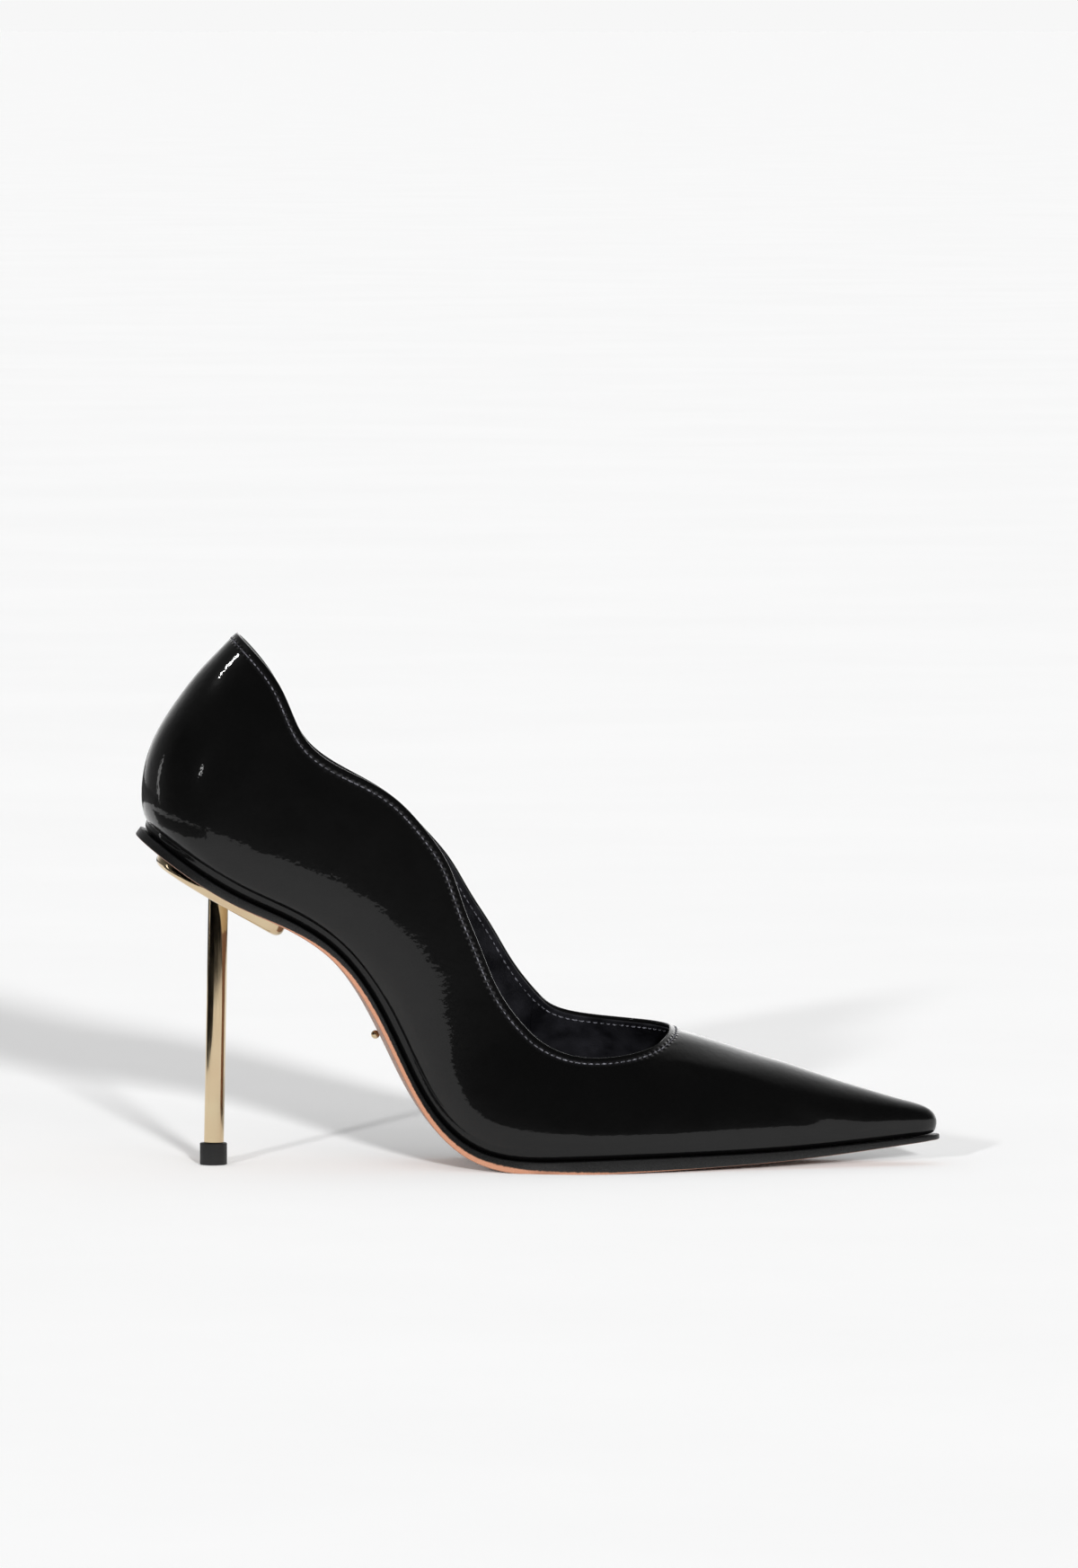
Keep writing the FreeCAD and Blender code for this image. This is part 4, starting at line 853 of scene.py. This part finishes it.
def rounded(radius, low, high, edge, steps=5):
    # outline of a short cylinder with softened rims
    bends = [math.pi / 2 * k / steps for k in range(steps + 1)]
    below = [(radius - edge * (1 - math.sin(t)), low + edge * (1 - math.cos(t))) for t in bends]
    above = [(radius - edge * (1 - math.cos(t)), high - edge * (1 - math.sin(t))) for t in bends]
    return [(0, low), *below, *above, (0, high)]


def makeHeelPin():
    lean = math.radians(heel["pinLean"])
    axis = Vector((math.sin(lean), 0, math.cos(lean)))
    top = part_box("heel_pin")[1][2] / mm / axis.z - heel["belowTop"]
    shaft = rounded(heel["pinRadius"], heel["tipHeight"] + gauges["glue"], top, heel["pinEdge"])
    pin = turned("gilt_heel_pin", shaft, axis, Vector((0, 0, 0)))
    finished(pin, matters["gilt"], "heel_pin")
    lift = rounded(heel["tipRadius"], 0.0, heel["tipHeight"], heel["tipEdge"])
    tip = turned("top_lift", lift, Vector((0, 0, 1)), Vector((0, 0, 0)))
    finished(tip, matters["rubber"], "heel_tip")


makeHeelPin()
print("heel pin and top lift turned")


# one stitch set along every seam

stitch = {"length": 1.45, "thick": 0.42, "endThick": 0.55, "bow": 0.2, "sink": 0.02, "sides": 8, "rings": 5,
          "unevenness": 0.22}
liningSeam = {"reach": 2.0, "pitch": 2.1, "lift": 0.03}


def makeStitch():
    # a short bow of thread along +X, its ends going down into the leather
    points, faces = [], []
    for k in range(stitch["rings"]):
        u = k / (stitch["rings"] - 1)
        middle = Vector(((u - 0.5) * stitch["length"], 0, stitch["bow"] * math.sin(math.pi * u) - stitch["sink"]))
        radius = stitch["thick"] / 2 * (stitch["endThick"] + (1 - stitch["endThick"]) * math.sin(math.pi * u))
        for turn in np.arange(stitch["sides"]) * 2 * math.pi / stitch["sides"]:
            points.append(list(middle + Vector((0, math.cos(turn) * radius, math.sin(turn) * radius))))
    sides = stitch["sides"]
    for k in range(stitch["rings"] - 1):
        faces += [(k * sides + j, (k + 1) * sides + j, (k + 1) * sides + (j + 1) % sides, k * sides + (j + 1) % sides)
                  for j in range(sides)]
    faces += [range(sides), range(len(points) - 1, len(points) - sides - 1, -1)]
    made = meshOf("one_stitch", points, faces)
    made.hide_render = True
    made.hide_viewport = True
    return made


oneStitch = makeStitch()


def stitching():
    # inputs: the seam line, the stitch, the pitch, how unevenly they lie, and a seed
    tree = bpy.data.node_groups.new("row of stitches", "GeometryNodeTree")
    for name, kind in (("Seam", "NodeSocketGeometry"), ("Stitch", "NodeSocketObject"), ("Pitch", "NodeSocketFloat"),
                       ("Unevenness", "NodeSocketFloat"), ("Seed", "NodeSocketInt"), ("Thread", "NodeSocketMaterial")):
        tree.interface.new_socket(name, in_out="INPUT", socket_type=kind)
    tree.interface.new_socket("Stitches", in_out="OUTPUT", socket_type="NodeSocketGeometry")
    given = addNode(tree, "NodeGroupInput")
    outward = addNode(tree, "GeometryNodeInputNamedAttribute", {"data_type": "FLOAT_VECTOR"}, {"Name": "outward"})
    line = addNode(tree, "GeometryNodeMeshToCurve", None, {0: given.outputs["Seam"]})
    spots = addNode(tree, "GeometryNodeCurveToPoints", {"mode": "LENGTH"}, {
        "Curve": line.outputs[0], "Length": given.outputs["Pitch"]})
    alongSeam = addNode(tree, "FunctionNodeAlignRotationToVector", {"axis": "X"}, {"Vector": spots.outputs["Tangent"]})
    stood = addNode(tree, "FunctionNodeAlignRotationToVector", {"axis": "Z", "pivot_axis": "X"}, {
        "Rotation": alongSeam.outputs[0], "Vector": outward.outputs[0]})
    less = maths(tree, "SUBTRACT", 1.0, given.outputs["Unevenness"])
    more = maths(tree, "ADD", 1.0, given.outputs["Unevenness"])
    size = addNode(tree, "FunctionNodeRandomValue", {"data_type": "FLOAT"}, {
        2: less, 3: more, "Seed": given.outputs["Seed"]})
    shape = addNode(tree, "GeometryNodeObjectInfo", None, {"Object": given.outputs["Stitch"]})
    placedOn = addNode(tree, "GeometryNodeInstanceOnPoints", None, {
        "Points": spots.outputs[0], "Instance": shape.outputs["Geometry"], "Rotation": stood.outputs[0],
        "Scale": size.outputs[1]})
    real = addNode(tree, "GeometryNodeRealizeInstances", None, {0: placedOn.outputs[0]})
    threaded = addNode(tree, "GeometryNodeSetMaterial", None, {
        "Geometry": real.outputs[0], "Material": given.outputs["Thread"]})
    addNode(tree, "NodeGroupOutput", None, {0: threaded.outputs[0]})
    return tree


stitchTree = stitching()


def sew(name, line, outward, pitch, seed):
    mesh = bpy.data.meshes.new(name + " seam")
    mesh.from_pydata((line * mm).tolist(), [(k, k + 1) for k in range(len(line) - 1)], [])
    ways = mesh.attributes.new("outward", "FLOAT_VECTOR", "POINT")
    ways.data.foreach_set("vector", outward.astype(np.float32).ravel())
    seam = linked(name + " seam", mesh)
    modifier = seam.modifiers.new("stitches", "NODES")
    modifier.node_group = stitchTree
    settings = {"Stitch": oneStitch, "Pitch": pitch * mm, "Unevenness": stitch["unevenness"], "Seed": seed,
                "Thread": matters["thread"]}
    for item in stitchTree.interface.items_tree:
        if item.in_out == "INPUT" and item.name in settings:
            modifier[item.identifier] = settings[item.name]
    evaluated = seam.evaluated_get(bpy.context.evaluated_depsgraph_get())
    made = linked(name, bpy.data.meshes.new_from_object(evaluated))
    made.data.shade_smooth()
    bpy.data.objects.remove(seam)
    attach(made, "root")


def rowBelowTop(face, below):
    # a line across a lining's inner face, at a distance below its upper edge, and the way into the shoe there
    found, ways = [], []
    for column, way in zip(face, -gradients(face)):
        reach = np.linalg.norm(column - column[-1], axis=1)
        k = np.nonzero(reach > below)[0][-1]
        share = (reach[k] - below) / (reach[k] - reach[k + 1])
        found.append(column[k] + (column[k + 1] - column[k]) * share)
        ways.append(way[k])
    return np.array(found), np.array(ways)


def makeStitching():
    sew("topline_stitches", stitchLine + stitchWay * topSeam["lift"], stitchWay, topSeam["pitch"],
        seed=3)
    for number, (name, face) in enumerate(liningFaces.items()):
        line, way = rowBelowTop(face, liningSeam["reach"])
        sew(name + "_stitches", line + way * liningSeam["lift"], way, liningSeam["pitch"],
            seed=5 + number)


makeStitching()
bpy.data.objects.remove(oneStitch)
print("seams sewn")


# the carried-over pieces

carried = {
    "heel_plate": "gilt", "sole_stud": "gilt", "heel_plate_screws": "steel", "heel_tip_dowel": "steel",
    "steel_shank": "steel", "shank_rivet_front": "steel", "shank_rivet_rear": "steel", "toe_puff": "stiffener",
    "heel_counter": "stiffener", "insole_board": "board", "shank_board": "board", "bottom_filler": "cork"}
for name, matter in carried.items():
    nodes[name].material_slots[0].material = matters[matter]


# camera, floor and light

view = {"aim": (0.0982, 0.0, 0.1149), "distance": 4.0, "elevation": 3.25, "lens": 305.0, "sensor": 36.0,
        "clipEnd": 6000.0}


def makeCamera():
    rise = math.radians(view["elevation"])
    aim = Vector(view["aim"])
    camera = linked("camera", bpy.data.cameras.new("camera"))
    camera.location = aim + Vector((0, -math.cos(rise), math.sin(rise))) * view["distance"]
    camera.rotation_euler = (aim - camera.location).to_track_quat("-Z", "Y").to_euler()
    camera.data.lens = view["lens"]
    camera.data.sensor_width = view["sensor"]
    camera.data.clip_end = view["clipEnd"]
    scene.camera = camera


studio = {"paper": "#f7f7f7", "floorHalf": 2500.0, "floorDrop": 0.00005, "ambient": 0.52, "backGlow": 2.0,
          "glowFromSide": (0.0, 0.9), "glowFades": (0.1, 1.0), "topShare": 0.3, "heelToToe": (-0.7, 0.3),
          "heelShare": 0.12}


def makeFloor():
    half = studio["floorHalf"]
    mesh = bpy.data.meshes.new("floor")
    corners = [(-half, -half), (half, -half), (half, half), (-half, half)]
    mesh.from_pydata([(x, y, -studio["floorDrop"]) for x, y in corners], [], [(0, 1, 2, 3)])
    mesh.materials.append(plainMatter("white paper", "#f4f4f4", "#f6f6f6", 300.0, (0.85, 0.95), 0.001, specular=0.0))
    linked("floor", mesh)


def makeWorld():
    world = bpy.data.worlds.new("studio")
    scene.world = world
    world.use_nodes = True
    tree = world.node_tree
    tree.nodes.clear()
    path = addNode(tree, "ShaderNodeLightPath")
    place = addNode(tree, "ShaderNodeTexCoord")
    split = addNode(tree, "ShaderNodeSeparateXYZ", None, {0: place.outputs["Generated"]})

    def background(colour, strength):
        return addNode(tree, "ShaderNodeBackground", None, {"Color": colour, "Strength": strength}).outputs[0]

    def either(ray, one, other):
        return addNode(tree, "ShaderNodeMixShader", None, {0: path.outputs[ray], 1: one, 2: other}).outputs[0]

    # the room is dark on the camera's side, and the paper behind glows and fades upwards and to the heel
    behind = spread(tree, split.outputs["Y"], *studio["glowFromSide"], 0.0, 1.0)
    low = spread(tree, split.outputs["Z"], *studio["glowFades"], 1.0, studio["topShare"])
    toToe = spread(tree, split.outputs["X"], *studio["heelToToe"], studio["heelShare"], 1.0)
    bright = maths(tree, "MULTIPLY", maths(tree, "MULTIPLY", behind, low), studio["backGlow"])
    room = background(linear(studio["paper"]), maths(tree, "MULTIPLY", bright, toToe))
    mirrored = either("Is Glossy Ray", background((1, 1, 1, 1), studio["ambient"]), room)
    seen = either("Is Camera Ray", mirrored, background(linear(studio["paper"]), 1.0))
    addNode(tree, "ShaderNodeOutputWorld", None, {"Surface": seen})


suns = [  # azimuth from the camera's side towards the toe, elevation and spread in degrees
    {"azimuth": 9.5, "elevation": 12.0, "strength": 5.0, "spread": 4.0},
    {"azimuth": 27.0, "elevation": 11.0, "strength": 0.8, "spread": 24.0},
    {"azimuth": -17.0, "elevation": 12.0, "strength": 2.0, "spread": 2.5}]


def makeSuns():
    for number, sun in enumerate(suns):
        data = bpy.data.lights.new("sun_%d" % number, "SUN")
        data.energy = sun["strength"]
        data.angle = math.radians(sun["spread"])
        made = linked(data.name, data)
        turn, rise = math.radians(sun["azimuth"]), math.radians(sun["elevation"])
        toLight = Vector((math.sin(turn) * math.cos(rise), -math.cos(turn) * math.cos(rise), math.sin(rise)))
        made.rotation_euler = toLight.to_track_quat("Z", "Y").to_euler()
        made.visible_glossy = False


glints = [  # where each lamp is mirrored in the outer side of the upper, its size in metres, and how bright it is
    {"at": (6.8, 153.0), "size": (0.05, 0.05), "glow": 130.0},
    {"at": (-2.5, 120.3), "size": (0.10, 0.10), "glow": 14.0},
    {"at": (-15.5, 117.5), "size": (0.12, 0.6), "glow": 2.5}]
lampDistance = 1.6


def makeGlints():
    camera = scene.camera.location
    side = sheetPoints(layerGrid(underUpper + gauges["upper"]), np.linspace(1, stations - 2, 300),
                       np.linspace(marginRows + 2, lastRow, 120))
    facing = gradients(side)
    for number, glint in enumerate(glints):
        apart = np.hypot(side[..., 0] - glint["at"][0], side[..., 2] - glint["at"][1])
        spot = np.unravel_index(apart.argmin(), apart.shape)
        point, way = Vector(side[spot]) * mm, Vector(facing[spot])
        coming = (point - camera).normalized()
        leaving = coming - way * 2 * coming.dot(way)
        data = bpy.data.lights.new("lamp_%d" % number, "AREA")
        data.shape = "ELLIPSE"
        data.size, data.size_y = glint["size"]
        data.energy = glint["glow"] * math.pi * math.pi / 4 * data.size * data.size_y
        made = linked(data.name, data)
        made.location = point + leaving * lampDistance
        made.rotation_euler = leaving.to_track_quat("Z", "Y").to_euler()
        made.visible_camera = False
        made.visible_diffuse = False


cards = {"floorReach": 1.2, "farReach": 3000.0, "lift": 0.0004, "sides": 48, "flagX": -0.28, "flagY": (-0.45, 0.2),
         "flagTop": 0.065}


def makeCards():
    # black cards that only mirrors see: the floor ends a little way off, and a flag stands behind the heel
    count = cards["sides"]
    turns = [2 * math.pi * k / count for k in range(count)]
    rings = [(r * math.cos(t), r * math.sin(t), cards["lift"])
             for r in (cards["floorReach"], cards["farReach"]) for t in turns]
    faces = [(k, (k + 1) % count, count + (k + 1) % count, count + k) for k in range(count)]
    x, (near, far), top = cards["flagX"], cards["flagY"], cards["flagTop"]
    flag = [(x, near, 0.0), (x, far, 0.0), (x, far, top), (x, near, top)]
    black = plainMatter("black cloth", "#020202", "#030303", 4.0, (0.9, 1.0), 0.01)
    for name, corners, sides in (("card_far_floor", rings, faces), ("card_flag", flag, [(0, 1, 2, 3)])):
        mesh = bpy.data.meshes.new(name)
        mesh.from_pydata(corners, [], sides)
        mesh.materials.append(black)
        card = linked(name, mesh)
        for ray in ("camera", "diffuse", "transmission", "shadow", "volume_scatter"):
            setattr(card, "visible_" + ray, False)


makeCamera()
makeFloor()
makeWorld()
makeSuns()
makeGlints()
makeCards()
scene.view_settings.view_transform = "Standard"
print("stage set")
